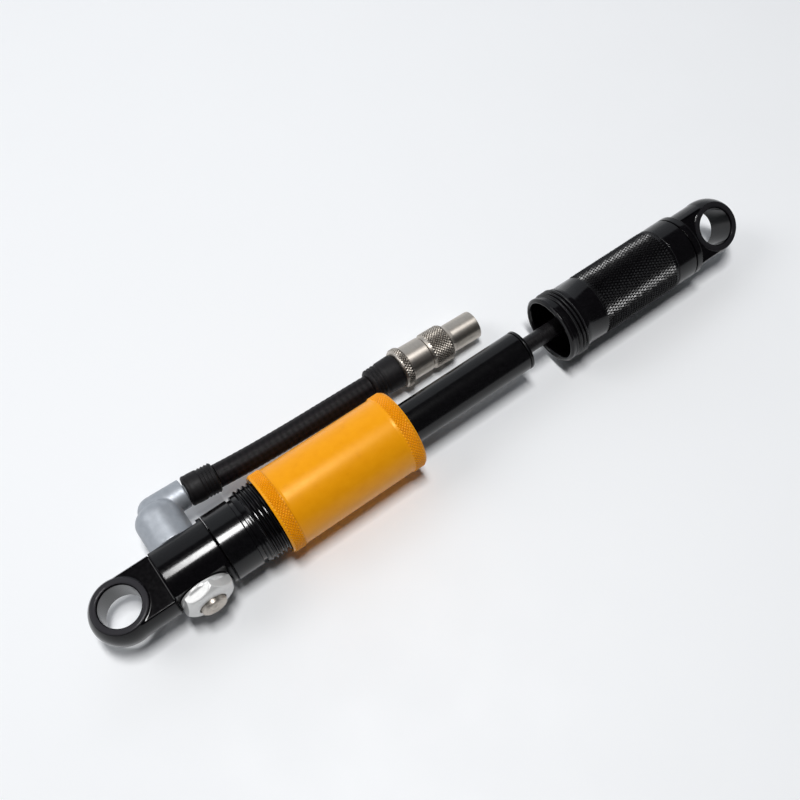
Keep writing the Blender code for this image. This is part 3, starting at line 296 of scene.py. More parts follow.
# Where the pump and the swinging hose lie in the part
joints = {joint["name"]: joint for joint in frame["joints"]}
barrel_low, barrel_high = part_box("barrel")
head_low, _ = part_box("head_body")
ORIGIN = Vector((
    head_low.x + EYE_RADIUS * MM,
    (barrel_low.y + barrel_high.y) / 2,
    (barrel_low.z + barrel_high.z) / 2,
))
chuck_aim = Vector(joints["nut_turn"]["axis"])
DROOP = math.atan2(-chuck_aim.z, chuck_aim.x)
SWIVEL = ORIGIN + Vector((CROSS_X * MM, 0, 0))
SWIVEL_TURN = Matrix.Rotation(DROOP, 4, "Y")
NEAR_SIDE = (0, 0, -math.pi / 2)
FAR_SIDE = (0, 0, math.pi / 2)


def set_up(name, data, place=(0, 0, 0), turn=(0, 0, 0)):
    """A new object in the scene."""
    made = bpy.data.objects.new(name, data)
    made.location = place
    made.rotation_euler = turn
    bpy.context.scene.collection.objects.link(made)
    return made


def add_camera():
    """The camera stands where the photograph's did."""
    data = bpy.data.cameras.new("camera")
    data.lens = CAMERA_LENS
    data.sensor_width = CAMERA_SENSOR
    data.clip_start = 0.01
    camera = set_up("camera", data, ORIGIN + Vector(CAMERA_PLACE) * MM)
    camera.rotation_mode = "QUATERNION"
    camera.rotation_quaternion = (-Vector(CAMERA_BACK)).to_track_quat("-Z", "Y")
    bpy.context.scene.camera = camera


def soften(outline, size, steps=3):
    """Rounds the corners of an open outline of (along, radius) points, with a hoop on either side that
    keeps the straight runs between them looking straight."""
    most, hold = 0.36, 1.3
    made = [outline[0]]
    for before, corner, after in zip(outline, outline[1:], outline[2:]):
        here = Vector(corner)
        back, ahead = Vector(before) - here, Vector(after) - here
        reach = min(size, most * back.length, most * ahead.length)
        start = here + back.normalized() * reach
        end = here + ahead.normalized() * reach
        curve = [here + back.normalized() * reach * hold]
        for step in range(steps + 1):
            share = step / steps
            curve.append(start.lerp(here, share).lerp(here.lerp(end, share), share))
        curve.append(here + ahead.normalized() * reach * hold)
        made += [(place.x, place.y) for place in curve]
    made.append(outline[-1])
    return made


def open_mesh(name, shape):
    """A mesh from a finished shape."""
    mesh = bpy.data.meshes.new(name)
    shape.to_mesh(mesh)
    shape.free()
    return mesh


def closed_mesh(name, shape):
    """A mesh from a finished closed shape, facing outwards."""
    bmesh.ops.recalc_face_normals(shape, faces=shape.faces)
    return open_mesh(name, shape)


def skinned(name, shape, rings):
    """A closed mesh over rings of points."""
    sides = len(rings[0])
    for here, there in zip(rings, rings[1:]):
        for side in range(sides):
            following = (side + 1) % sides
            shape.faces.new((here[side], here[following], there[following], there[side]))
    shape.faces.new(rings[0])
    shape.faces.new(list(reversed(rings[-1])))
    return closed_mesh(name, shape)


def quarter_turn(steps=10):
    """Even angles from 0 to 90 degrees."""
    return [math.radians(90 * step / steps) for step in range(steps + 1)]


def shifted(start, steps):
    """Steps of an outline moved along to a start."""
    return [(start + along, radius) for along, radius in steps]


class Lathe:
    """A round body built hoop by hoop about +X, in millimetres."""

    def __init__(self, sides):
        self.shape = bmesh.new()
        self.face = self.shape.faces.new
        self.groove = self.shape.verts.layers.float.new("groove")
        self.sides = sides
        self.first = None
        self.last = None

    def point(self, along, radius, column):
        turn = 2 * math.pi * column / self.sides
        return self.shape.verts.new((along, -radius * math.sin(turn), radius * math.cos(turn)))

    def hoop(self, along, radius):
        """One more hoop, or a point on the axis, joined to the hoop before it."""
        if radius == 0:
            made = [self.shape.verts.new((along, 0, 0))]
        else:
            made = [self.point(along, radius, column) for column in range(self.sides)]
        if self.last:
            self.join(self.last, made)
        else:
            self.first = made
        self.last = made

    def join(self, here, there):
        for column in range(self.sides):
            following = (column + 1) % self.sides
            if len(here) == 1:
                self.face((here[0], there[following], there[column]))
            elif len(there) == 1:
                self.face((here[column], here[following], there[0]))
            else:
                self.face((here[column], here[following], there[following], there[column]))

    def outline(self, points, soft=0.25):
        for along, radius in soften(points, soft) if soft else points:
            self.hoop(along, radius)

    def facet(self, here, there):
        """Joins two uneven hoops, folding each cell along its lower corners."""
        def radius(vert):
            return math.hypot(vert.co.y, vert.co.z)

        for column in range(self.sides):
            following = (column + 1) % self.sides
            a, b = here[column], here[following]
            c, d = there[following], there[column]
            if radius(a) + radius(c) <= radius(b) + radius(d):
                self.face((a, b, c))
                self.face((a, c, d))
            else:
                self.face((a, b, d))
                self.face((b, c, d))

    def knurl(self, end, low, high, rows, uneven=0.0):
        """A band of small pyramids between crossing grooves, with peaks that may be uneven."""
        start = self.last[0].co.x
        draw = random.Random(rows)
        for row in range(1, rows + 1):
            along = start + (end - start) * row / rows
            peaks = [high - draw.uniform(0, uneven) if row < rows else low for _ in range(self.sides)]
            radii = [peak if (column + row) % 2 else low for column, peak in enumerate(peaks)]
            made = [self.point(along, radius, column) for column, radius in enumerate(radii)]
            for vert, radius in zip(made, radii):
                # Marks the low points, where the finish paints grime and shade.
                vert[self.groove] = radius == low
            self.facet(self.last, made)
            self.last = made

    def thread(self, start, turns, root, depth, pitch):
        """A thread with rounded crests that fades in and out, ending on a hoop."""
        sides, steps = self.sides, turns * self.sides
        fade = sides / 2
        lines = []
        for share, height in THREAD_SHAPE:
            line = []
            for step in range(steps + 1):
                lift = min(1, step / fade, (steps - step) / fade)
                along = start + pitch * (step / sides + share)
                line.append(self.point(along, root + depth * height * lift, step))
            lines.append(line)
        face = self.face
        for below, above in zip(lines, lines[1:]):
            for step in range(steps):
                face((below[step], below[step + 1], above[step + 1], above[step]))
        first, final = lines[0], lines[-1]
        for step in range(steps - sides):
            later = step + sides
            face((final[step], final[step + 1], first[later + 1], first[later]))

        hoop = self.last
        for step in range(sides - 1):
            face((hoop[step], hoop[step + 1], first[step + 1], first[step]))
        seam = [hoop[sides - 1], hoop[0], *(line[0] for line in lines), first[sides]]
        for here, there in zip(seam, seam[1:]):
            face((first[sides - 1], here, there))

        end = start + pitch * (turns + 1)
        last = [self.point(end, root, column) for column in range(sides)]
        for step in range(1, sides):
            late = steps - sides + step
            face((final[late], final[late + 1], last[(step + 1) % sides], last[step]))
        seam = [last[0], *(line[steps] for line in reversed(lines))]
        seam += [final[steps - sides], final[steps - sides + 1]]
        for here, there in zip(seam, seam[1:]):
            face((last[1], here, there))
        self.last = last

    def done(self, name):
        if len(self.first) > 1 and len(self.last) > 1:
            self.join(self.last, self.first)
        return closed_mesh(name, self.shape)


def turned(name, outline, soft=0.25, sides=96):
    """A closed round body from an outline. It starts and ends on the axis, or closes on itself."""
    body = Lathe(sides)
    if outline[0][1] == 0:
        body.outline(outline, soft)
    else:
        middle = tuple((a + b) / 2 for a, b in zip(outline[-1], outline[0]))
        body.outline([middle, *outline, middle], soft)
        bmesh.ops.remove_doubles(body.shape, verts=body.shape.verts, dist=1e-5)
        body.first = body.last = [None]
    return body.done(name)


def piece(name, mesh, finish, body, node, place=ORIGIN, turn=(0, 0, 0)):
    """A finished piece that stands for a node and moves with its body."""
    mesh.transform(Matrix.Scale(MM, 4))
    mesh.materials.append(finish)
    mesh.shade_smooth()
    mesh.set_sharp_from_angle(angle=SHARP)
    made = set_up(name, mesh, place, turn)
    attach(made, body)
    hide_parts(node)
    return made


def form(mesh, place=(0, 0, 0), turn=(0, 0, 0)):
    """A shape in millimetres that is used up in making a piece."""
    return set_up(mesh.name, mesh, place, turn)


def fused(name, base, steps, voxel, rounding):
    """Joins and cuts forms, then rounds every edge a little."""
    for operation, other in steps:
        step = base.modifiers.new(other.name, "BOOLEAN")
        step.operation = operation
        step.solver = "EXACT"
        step.object = other
    even = base.modifiers.new("even", "REMESH")
    even.mode = "VOXEL"
    even.voxel_size = voxel
    ease = base.modifiers.new("ease", "SMOOTH")
    ease.factor = 0.5
    ease.iterations = rounding
    graph = bpy.context.evaluated_depsgraph_get()
    mesh = bpy.data.meshes.new_from_object(base.evaluated_get(graph))
    mesh.name = name
    mesh.transform(base.matrix_world)
    for used in [base, *(other for _, other in steps)]:
        bpy.data.objects.remove(used, do_unlink=True)
    return mesh


def bore(name, start, end, radius):
    return turned(name, [(start, 0), (start, radius), (end, radius), (end, 0)], soft=0)


def prism(name, section, start, end):
    """A section of (y, z) points drawn out along X."""
    shape = bmesh.new()
    face = shape.faces.new([shape.verts.new((start, y, z)) for y, z in section])
    moved = bmesh.ops.extrude_face_region(shape, geom=[face])["geom"]
    corners = [part for part in moved if isinstance(part, bmesh.types.BMVert)]
    bmesh.ops.translate(shape, verts=corners, vec=(end - start, 0, 0))
    return closed_mesh(name, shape)


def box(name, low, high):
    section = [(low[1], low[2]), (high[1], low[2]), (high[1], high[2]), (low[1], high[2])]
    return prism(name, section, low[0], high[0])


def crown(half, face, outer, steps=14):
    """The round stretch from (half, face) over (0, outer) to (-half, face)."""
    centre = (outer**2 - face**2 - half**2) / (2 * (outer - face))
    size = outer - centre
    reach = math.asin(half / size)
    turns = [reach - 2 * reach * step / steps for step in range(steps + 1)]
    return [(size * math.sin(turn), centre + size * math.cos(turn)) for turn in turns]


def eyelet(along, roll, tongue_end):
    """The steps that add a crowned eyelet with a tongue and bore its hole."""
    centre = (along, 0, 0)
    upright = (Matrix.Rotation(roll, 3, "X") @ Matrix.Rotation(-math.pi / 2, 3, "Y")).to_euler()
    rim = crown(EYE_HALF, EYE_FACE, EYE_RADIUS)
    disc = turned("eye_disc", [(EYE_HALF, 0), *rim, (-EYE_HALF, 0)], soft=0)
    side = crown(TONGUE_HALF, TONGUE_FACE, TONGUE_WIDE)
    section = [(y, z) for z, y in side] + [(-y, z) for z, y in reversed(side)]
    tongue = prism("eye_tongue", section, 0, tongue_end)
    end = EYE_HALF + SPARE
    flare = EYE_HOLE + EYE_LIP
    hole = turned("eye_hole", [
        (-end, 0), (-end, flare), (-EYE_HALF, flare), (-EYE_HALF + EYE_LIP, EYE_HOLE),
        (EYE_HALF - EYE_LIP, EYE_HOLE), (EYE_HALF, flare), (end, flare), (end, 0),
    ], soft=0)
    return [
        ("UNION", form(tongue, centre, (roll, 0, 0))),
        ("UNION", form(disc, centre, upright)),
        ("DIFFERENCE", form(hole, centre, upright)),
    ]


def mark_faces(mesh, along, roll, share):
    """Marks how much painted sheen, a lighter grey, an eyelet's two flat faces get."""
    skin, rim = 0.2, 0.3
    marks = mesh.attributes.new("painted_sheen", "FLOAT", "POINT")
    level = Matrix.Rotation(-roll, 3, "X")
    for vert, mark in zip(mesh.vertices, marks.data):
        place = level @ (vert.co - Vector((along, 0, 0)))
        out = math.hypot(place.x, place.y)
        if abs(place.z) > EYE_HALF - skin and EYE_HOLE + rim < out < EYE_FACE + rim:
            mark.value = share


def mark_rough(mesh, share, start, end):
    """Marks how much rougher a stretch of a piece is."""
    marks = mesh.attributes.new("rough", "FLOAT", "POINT")
    for vert, mark in zip(mesh.vertices, marks.data):
        if start < vert.co.x < end:
            mark.value = share


def mark_edges(mesh):
    """Marks where a surface bends outwards sharply."""
    shape = bmesh.new()
    shape.from_mesh(mesh)
    marks = mesh.attributes.new("edge", "FLOAT", "POINT")
    for vert, mark in zip(shape.verts, marks.data):
        bend = max(edge.calc_face_angle_signed(0) for edge in vert.link_edges)
        mark.value = min(max((bend - EDGE_BEND_START) / (EDGE_BEND_END - EDGE_BEND_START), 0), 1)
    shape.free()


def dress_head(finish):
    outline = [(HEAD_FRONT, 0), (HEAD_FRONT, HEAD_RADIUS), (HEAD_REAR, HEAD_RADIUS), (HEAD_REAR, 0)]
    base = form(turned("head", outline, soft=0))
    reach = HEAD_RADIUS + SPARE
    lead = HEAD_FRONT - FLAT_LEAD
    near = box("near_flat", (lead, -reach, -reach), (FLAT_END, -SIDE_FLAT, reach))
    far = box("far_flat", (lead, SIDE_FLAT, -reach), (FLAT_END, reach, reach))
    steps = eyelet(0, 0, HEAD_FRONT + HEAD_TONGUE_SINK)
    steps += [
        ("DIFFERENCE", form(near)),
        ("DIFFERENCE", form(far)),
        ("DIFFERENCE", form(bore("socket", SOCKET_START, HEAD_REAR + SPARE, SOCKET_RADIUS))),
        ("DIFFERENCE", form(bore("chamber", CHAMBER_START, HEAD_REAR + SPARE, CHAMBER_RADIUS))),
        ("DIFFERENCE", form(bore("cross", -reach, reach, CROSS_BORE), (CROSS_X, 0, 0), FAR_SIDE)),
    ]
    mesh = fused("head", base, steps, voxel=0.25, rounding=5)
    mark_faces(mesh, along=0, roll=0, share=1.0)
    mark_edges(mesh)
    piece("head", mesh, finish, "head", "head_body")


def dress_handle_end(finish):
    outline = [
        (SPIGOT_START, 0), (SPIGOT_START, SPIGOT_RADIUS), (END_RIM, SPIGOT_RADIUS), (END_RIM, HANDLE_RADIUS),
        (END_FACE - END_CHAMFER, HANDLE_RADIUS), (END_FACE, HANDLE_RADIUS - END_CHAMFER), (END_FACE, 0),
    ]
    base = form(turned("handle_cap", outline, soft=0))
    steps = eyelet(HANDLE_EYE, HANDLE_ROLL, END_FACE - END_TONGUE_SINK - HANDLE_EYE)
    steps += [
        ("DIFFERENCE", form(bore("cavity", SPIGOT_START - SPARE, CAVITY_END, CAVITY_RADIUS))),
        ("DIFFERENCE", form(bore("rod_socket", SPIGOT_START, *ROD_SOCKET))),
    ]
    mesh = fused("handle_cap", base, steps, voxel=0.25, rounding=5)
    mark_faces(mesh, HANDLE_EYE, HANDLE_ROLL, share=0.4)
    mark_edges(mesh)
    piece("handle_cap", mesh, finish, "handle", "handle_end")


def dress_collar(finish):
    start, end, floor = COLLAR_UNDERCUT
    spigot, spigot_radius = COLLAR_SPIGOT
    groove, groove_end, groove_floor = COLLAR_SPIGOT_GROOVE
    body = Lathe(96)
    body.outline([
        (COLLAR_END, COLLAR_BORE), (COLLAR_SHOULDER, COLLAR_BORE), (COLLAR_SHOULDER, COLLAR_PASSAGE),
        (spigot, COLLAR_PASSAGE), (spigot, spigot_radius), (groove, spigot_radius), (groove, groove_floor),
        (groove_end, groove_floor), (groove_end, spigot_radius), (COLLAR_START, spigot_radius),
        (COLLAR_START, COLLAR_RADIUS), (start, COLLAR_RADIUS), (start, floor), (end, floor),
        (end, THREAD_ROOT),
    ], soft=0.2)
    body.thread(end + COLLAR_LEAD, COLLAR_TURNS, THREAD_ROOT, THREAD_DEPTH, COLLAR_PITCH)
    body.hoop(COLLAR_END, COLLAR_TIP)
    mesh = body.done("collar")
    mark_edges(mesh)
    piece("collar", mesh, finish, "head", "threaded_collar")


def dress_barrel(finish):
    start, end = BARREL
    tube = [(start, BARREL_BORE), (start, BARREL_RADIUS), (end, BARREL_RADIUS), (end, BARREL_BORE)]
    piece("pump_tube", turned("pump_tube", tube, soft=0.3), finish, "head", "barrel")


def dress_gland_cap(finish):
    rim, rim_radius = CAP_RIM
    wiper, wiper_radius = WIPER_SEAT
    cap = [
        (CAP_START, CAP_BORE), (CAP_START, CAP_SKIRT), (rim, CAP_SKIRT), (rim, rim_radius),
        (PUMP_END, rim_radius), (PUMP_END, wiper_radius), (wiper, wiper_radius), (wiper, ROD_HOLE),
        (BUSH_END, ROD_HOLE), (BUSH_END, CAP_BORE),
    ]
    piece("pump_cap", turned("pump_cap", cap, soft=0.35), finish, "head", "gland_cap")


def dress_rod(finish):
    start, end = ROD
    step, thin = ROD_STEP
    rod = [(start, 0), (start, thin), (step, thin), (step, ROD_RADIUS), (end, ROD_RADIUS), (end, 0)]
    piece("rod", turned("rod", rod, soft=0.2, sides=48), finish, "handle", "piston_rod")


def dress_sleeve(finish):
    start, end = SLEEVE
    low, plain = SLEEVE_RADIUS - SLEEVE_KNURL, SLEEVE_RADIUS - SLEEVE_SINK
    band, band_end = start + SLEEVE_BAND, end - SLEEVE_BAND
    ease, lead = 0.3, 0.4
    body = Lathe(SLEEVE_COLUMNS)
    body.outline([
        (start + SLEEVE_INSIDE, SLEEVE_BORE), (start + SLEEVE_CHAMFER, SLEEVE_BORE), (start, SLEEVE_MOUTH),
        (start, SLEEVE_RIM), (start + SLEEVE_CHAMFER, low),
    ])
    body.knurl(band - lead, low, SLEEVE_RADIUS, SLEEVE_ROWS)
    body.outline([
        (band, low - SLEEVE_GROOVE), (band + ease, plain), (band_end - ease, plain),
        (band_end, low - SLEEVE_GROOVE), (band_end + lead, low),
    ], soft=0.15)
    body.knurl(end - SLEEVE_CHAMFER, low, SLEEVE_RADIUS, SLEEVE_ROWS)
    body.outline([
        (end, SLEEVE_RIM), (end, SLEEVE_MOUTH), (end - SLEEVE_CHAMFER, SLEEVE_BORE),
        (end - SLEEVE_INSIDE, SLEEVE_BORE),
    ])
    piece("sleeve", body.done("sleeve"), finish, "sleeve", "lock_sleeve")


def dress_handle(finish):
    start, end = HANDLE
    grip, grip_end = GRIP
    crest, low = HANDLE_RADIUS + GRIP_OUT, HANDLE_RADIUS - GRIP_DEEP
    body = Lathe(GRIP_COLUMNS)
    body.outline([(end, HANDLE_BORE), *shifted(start, HANDLE_MOUTH)], soft=0.15)
    body.thread(start + HANDLE_THREAD, HANDLE_TURNS, HANDLE_ROOT, THREAD_DEPTH, HANDLE_PITCH)
    body.outline([
        (start + HANDLE_PLAIN, HANDLE_RADIUS), (grip - 2 * GRIP_LEAD, HANDLE_RADIUS),
        (grip - GRIP_LEAD, low), (grip, low),
    ], soft=0.1)
    body.knurl(grip_end, low, crest, GRIP_ROWS, GRIP_UNEVEN)
    body.outline([
        (grip_end + GRIP_LEAD, low), (grip_end + 2 * GRIP_LEAD, HANDLE_RADIUS), (end, HANDLE_RADIUS),
        (end, HANDLE_REAR_BORE),
    ], soft=0.15)
    mesh = body.done("grip_tube")
    mark_rough(mesh, GRIP_ROUGHER, grip, grip_end)
    piece("grip_tube", mesh, finish, "handle", "handle_tube")


def dress_bleed_hexagon(finish):
    corner = HEX_FLATS / math.sqrt(3)
    hexagon = [
        (corner * math.sin(HEX_TURN + side), corner * math.cos(HEX_TURN + side))
        for side in (math.radians(30 + 60 * step) for step in range(6))
    ]
    rim = [
        (HEX_FACE - HEX_DOME + HEX_DOME * math.sin(turn), HEX_MOUTH + (corner - HEX_MOUTH) * math.cos(turn))
        for turn in quarter_turn()
    ]
    back = HEX_START - HEX_SINK
    blank = turned("hex_blank", [(back, HEX_BORE), (back, corner), *rim, (HEX_FACE, HEX_BORE)], soft=0)
    base = form(prism("hexagon", hexagon, HEX_START - HEX_SPARE, HEX_FACE + SPARE))
    stem, stem_radius = BLEED_STEM
    groove, groove_end, groove_floor = BLEED_GROOVE
    web = SIDE_SEAT + BLEED_WEB
    seat = turned("hex_seat", [
        (stem, BLEED_BORE), (stem, stem_radius), (groove, stem_radius), (groove, groove_floor),
        (groove_end, groove_floor), (groove_end, stem_radius), (SIDE_SEAT, stem_radius),
        (SIDE_SEAT, HEX_FLANGE), (HEX_START, HEX_FLANGE), (HEX_START, HEX_BORE), (web, HEX_BORE),
        (web, BLEED_BORE),
    ], soft=0)
    steps = [("INTERSECT", form(blank)), ("UNION", form(seat))]
    mesh = fused("bleed_hex", base, steps, voxel=0.2, rounding=4)
    piece("bleed_hex", mesh, finish, "head", "bleed_valve_body", SWIVEL, NEAR_SIDE)


def dress_bleed_button(finish):
    pit, pit_radius = BUTTON_PIT
    button = turned("push_button", [
        (pit, 0), (pit, pit_radius), (BUTTON_BACK, pit_radius), (BUTTON_BACK, BUTTON_RADIUS),
        (BUTTON_FACE - BUTTON_EDGE, BUTTON_RADIUS),
        *((BUTTON_FACE - depth, radius) for depth, radius in BUTTON_DISH),
    ], soft=0.3, sides=64)
    piece("push_button", button, finish, "button", "bleed_button", SWIVEL, NEAR_SIDE)


def elbow_hub():
    top = [
        (HUB_STRAIGHT + HUB_DOME * math.sin(turn), HUB_RADIUS - HUB_DOME + HUB_DOME * math.cos(turn))
        for turn in quarter_turn()
    ]
    outline = [(SIDE_SEAT, 0), (SIDE_SEAT, HUB_RADIUS), *top, (HUB_STRAIGHT + HUB_DOME, 0)]
    return turned("hub", outline, soft=0)


def elbow_branch(end):
    _, barb_radius = ELBOW_BARB
    back = [(-ELBOW_RADIUS * math.cos(turn), ELBOW_RADIUS * math.sin(turn)) for turn in quarter_turn()]
    return turned("branch", [
        *back, (ELBOW_LENGTH, ELBOW_RADIUS), (ELBOW_LENGTH, barb_radius), (end, barb_radius), (end, 0),
    ], soft=0)


def elbow_hollow():
    mouth, mouth_radius = STEM_MOUTH
    groove, groove_end, groove_floor = STEM_GROOVE
    lead = SIDE_SEAT - SPARE
    return turned("hollow", [
        (lead, 0), (lead, mouth_radius), (mouth, mouth_radius), (mouth, STEM_BORE), (groove, STEM_BORE),
        (groove, groove_floor), (groove_end, groove_floor), (groove_end, STEM_BORE), (STEM_END, STEM_BORE),
        (STEM_END, ELBOW_PASSAGE), (ELBOW_SIDE, ELBOW_PASSAGE), (ELBOW_SIDE, 0),
    ], soft=0)


def dress_elbow(finish):
    barb_length, _ = ELBOW_BARB
    end = ELBOW_LENGTH + barb_length
    side = (0, ELBOW_SIDE, 0)
    mesh = fused("elbow", form(elbow_hub(), turn=FAR_SIDE), [
        ("UNION", form(elbow_branch(end), side)),
        ("DIFFERENCE", form(elbow_hollow(), turn=FAR_SIDE)),
        ("DIFFERENCE", form(bore("passage", -SPARE, end + SPARE, ELBOW_PASSAGE), side)),
    ], voxel=0.25, rounding=6)
    mesh.transform(SWIVEL_TURN)
    piece("elbow", mesh, finish, "elbow", "swivel_elbow", SWIVEL)


def coil(name, length, radius, wire, turns, sides=10, steps_each=28):
    """A round wire wound along +X from the origin."""
    steps = round(steps_each * turns)
    rise = length - 2 * wire
    shape = bmesh.new()
    rings = []
    for step in range(steps + 1):
        turn = 2 * math.pi * turns * step / steps
        out = Vector((0, math.sin(turn), math.cos(turn)))
        place = Vector((wire + rise * step / steps, 0, 0)) + out * radius
        ring = []
        for side in range(sides):
            lean = 2 * math.pi * side / sides
            offset = math.cos(lean) * out + Vector((math.sin(lean), 0, 0))
            ring.append(shape.verts.new(place + wire * offset))
        rings.append(ring)
    return skinned(name, shape, rings)


def dress_bleed_spring(finish):
    """A spring coiled to the length of its solid."""
    low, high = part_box("bleed_spring")
    seat = Vector(((low.x + high.x) / 2, high.y, (low.z + high.z) / 2))
    mesh = coil("button_spring", (high.y - low.y) / MM, BLEED_COIL, BLEED_WIRE, BLEED_TURNS)
    spring = piece("button_spring", mesh, finish, "head", "bleed_spring", seat, NEAR_SIDE)
    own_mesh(spring)


def dress_check_spring(finish):
    """A spring coiled to the length of its solid."""
    low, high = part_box("check_valve_spring")
    seat = Vector((low.x, (low.y + high.y) / 2, (low.z + high.z) / 2))
    mesh = coil("ball_spring", (high.x - low.x) / MM, VALVE_COIL, VALVE_WIRE, VALVE_TURNS)
    spring = piece("ball_spring", mesh, finish, "head", "check_valve_spring", seat)
    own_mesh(spring)


def on_swivel(place):
    """A place in millimetres in the swinging hose's frame, in the part's frame."""
    return SWIVEL + SWIVEL_TURN @ (Vector(place) * MM)


def chuck_piece(name, mesh, finish, body, node):
    """A piece on the straight end of the swinging hose."""
    mesh.transform(SWIVEL_TURN)
    return piece(name, mesh, finish, body, node, on_swivel((0, CHUCK_SIDE, 0)))


def dress_rear_boot(finish):
    start, end = REAR_BOOT
    depth, pocket = BOOT_POCKET
    outline = [(start + depth, 0), (start + depth, pocket), (start, pocket), *shifted(start, REAR_CUFF)]
    for ring in range(REAR_RINGS):
        outline += shifted(start + REAR_RING_PITCH * ring, REAR_RING)
    outline += [*shifted(end, REAR_TIP), (end, 0)]
    mesh = turned("rear_boot", outline, sides=64)
    mesh.transform(SWIVEL_TURN @ Matrix.Rotation(-BOOT_TURN, 4, "Z"))
    place = on_swivel((ELBOW_LENGTH, ELBOW_SIDE, 0))
    return piece("rear_boot", mesh, finish, "elbow", "hose_boot_rear", place)


def dress_front_boot(finish):
    start, end = FRONT_BOOT
    depth, pocket = BOOT_POCKET
    outline = [(start, 0), *shifted(start, FRONT_TIP)]
    for ring in range(FRONT_RINGS):
        wider = [(along, radius + FRONT_RING_GROWTH * ring) for along, radius in FRONT_RING]
        outline += shifted(start + FRONT_RING_PITCH * ring, wider)
    outline += [*shifted(end, FRONT_CUFF), (end, pocket), (end - depth, pocket), (end - depth, 0)]
    mesh = turned("front_boot", outline, sides=64)
    return chuck_piece("front_boot", mesh, finish, "elbow", "hose_boot_front")


def hose_route():
    """The hose's middle line between the two boots, in the swinging hose's frame."""
    aim = Vector((math.cos(BOOT_TURN), -math.sin(BOOT_TURN), 0))
    start = Vector((ELBOW_LENGTH, ELBOW_SIDE, 0)) + aim * (REAR_BOOT[1] + HOSE_GAP)
    end = Vector((FRONT_BOOT[0] - HOSE_GAP, CHUCK_SIDE, 0))
    return interpolate_bezier(
        start, start + aim * HOSE_EASE, end - Vector((HOSE_EASE, 0, 0)), end, HOSE_ROWS)


def woven_tube(name, route):
    """A tube along a route, with rows of small bumps."""
    shape = bmesh.new()
    groove = shape.verts.layers.float.new("groove")
    rings = []
    for row, place in enumerate(route):
        ahead = route[min(row + 1, len(route) - 1)] - route[max(row - 1, 0)]
        side = Vector((-ahead.y, ahead.x, 0)).normalized()
        ring = []
        for column in range(HOSE_COLUMNS):
            turn = 2 * math.pi * column / HOSE_COLUMNS
            low = (2 - math.cos(WEAVE_AROUND * turn) - math.cos(2 * math.pi * row / WEAVE_ROWS)) / 4
            out = side * math.cos(turn) + Vector((0, 0, math.sin(turn)))
            vert = shape.verts.new(place + out * (HOSE_RADIUS - WEAVE_DEPTH * low))
            # Marks how deep each point lies, for a groove colour that is partly grime and partly painted shade.
            vert[groove] = low
            ring.append(vert)
        rings.append(ring)
    return skinned(name, shape, rings)


def dress_hose(finish):
    route = hose_route()
    mesh = woven_tube("hose_tube", route)
    mesh.transform(SWIVEL_TURN)
    hose = piece("hose_tube", mesh, finish, "elbow", "hose", SWIVEL)


def dress_chuck_body(finish):
    flange, flange_end = FLANGE
    tail_length, tail_radius = CHUCK_TAIL
    tail = flange - tail_length
    groove, groove_end, groove_floor = SNAP_GROOVE
    lead, lead_radius = FLANGE_LEAD
    back, back_radius = FLANGE_BACK
    body = Lathe(88)
    body.outline([
        (CHUCK_END, CHUCK_BORE), (tail, CHUCK_BORE), (tail, tail_radius), (flange, tail_radius),
        (flange, FLANGE_EDGE), (flange + lead, lead_radius),
    ], soft=0.15)
    body.knurl(flange_end - lead, *FLANGE_KNURL, FLANGE_ROWS)
    body.outline([
        (flange_end, FLANGE_EDGE), (flange_end + back, back_radius), (CHUCK_SMOOTH, CHUCK_RADIUS),
        (CHUCK_SMOOTH, CHUCK_SPIGOT), (groove, CHUCK_SPIGOT), (groove, groove_floor),
        (groove_end, groove_floor), (groove_end, CHUCK_SPIGOT), (CHUCK_END, CHUCK_SPIGOT),
    ], soft=0.2)
    mesh = body.done("chuck_barrel")
    return chuck_piece("chuck_barrel", mesh, finish, "elbow", "chuck_body")


def dress_chuck_nut(finish):
    lead, lead_radius = NUT_LEAD
    body = Lathe(72)
    body.outline([
        (NUT_FLOOR, NUT_BORE), (NUT_START, NUT_BORE), (NUT_START, NUT_EDGE), (NUT_START + lead, lead_radius),
    ], soft=0.2)
    body.knurl(BAND_END - lead, *NUT_KNURL, NUT_ROWS)
    body.outline([
        *shifted(BAND_END, NUT_NECK), (NOSE_END, NOSE_RADIUS), (NOSE_END, NOSE_BORE),
        (NUT_WEB, NOSE_BORE), (NUT_WEB, PIN_HOLE), (NUT_FLOOR, PIN_HOLE),
    ], soft=0.3)
    mesh = body.done("chuck_cap")
    return chuck_piece("chuck_cap", mesh, finish, "nut", "chuck_nut")


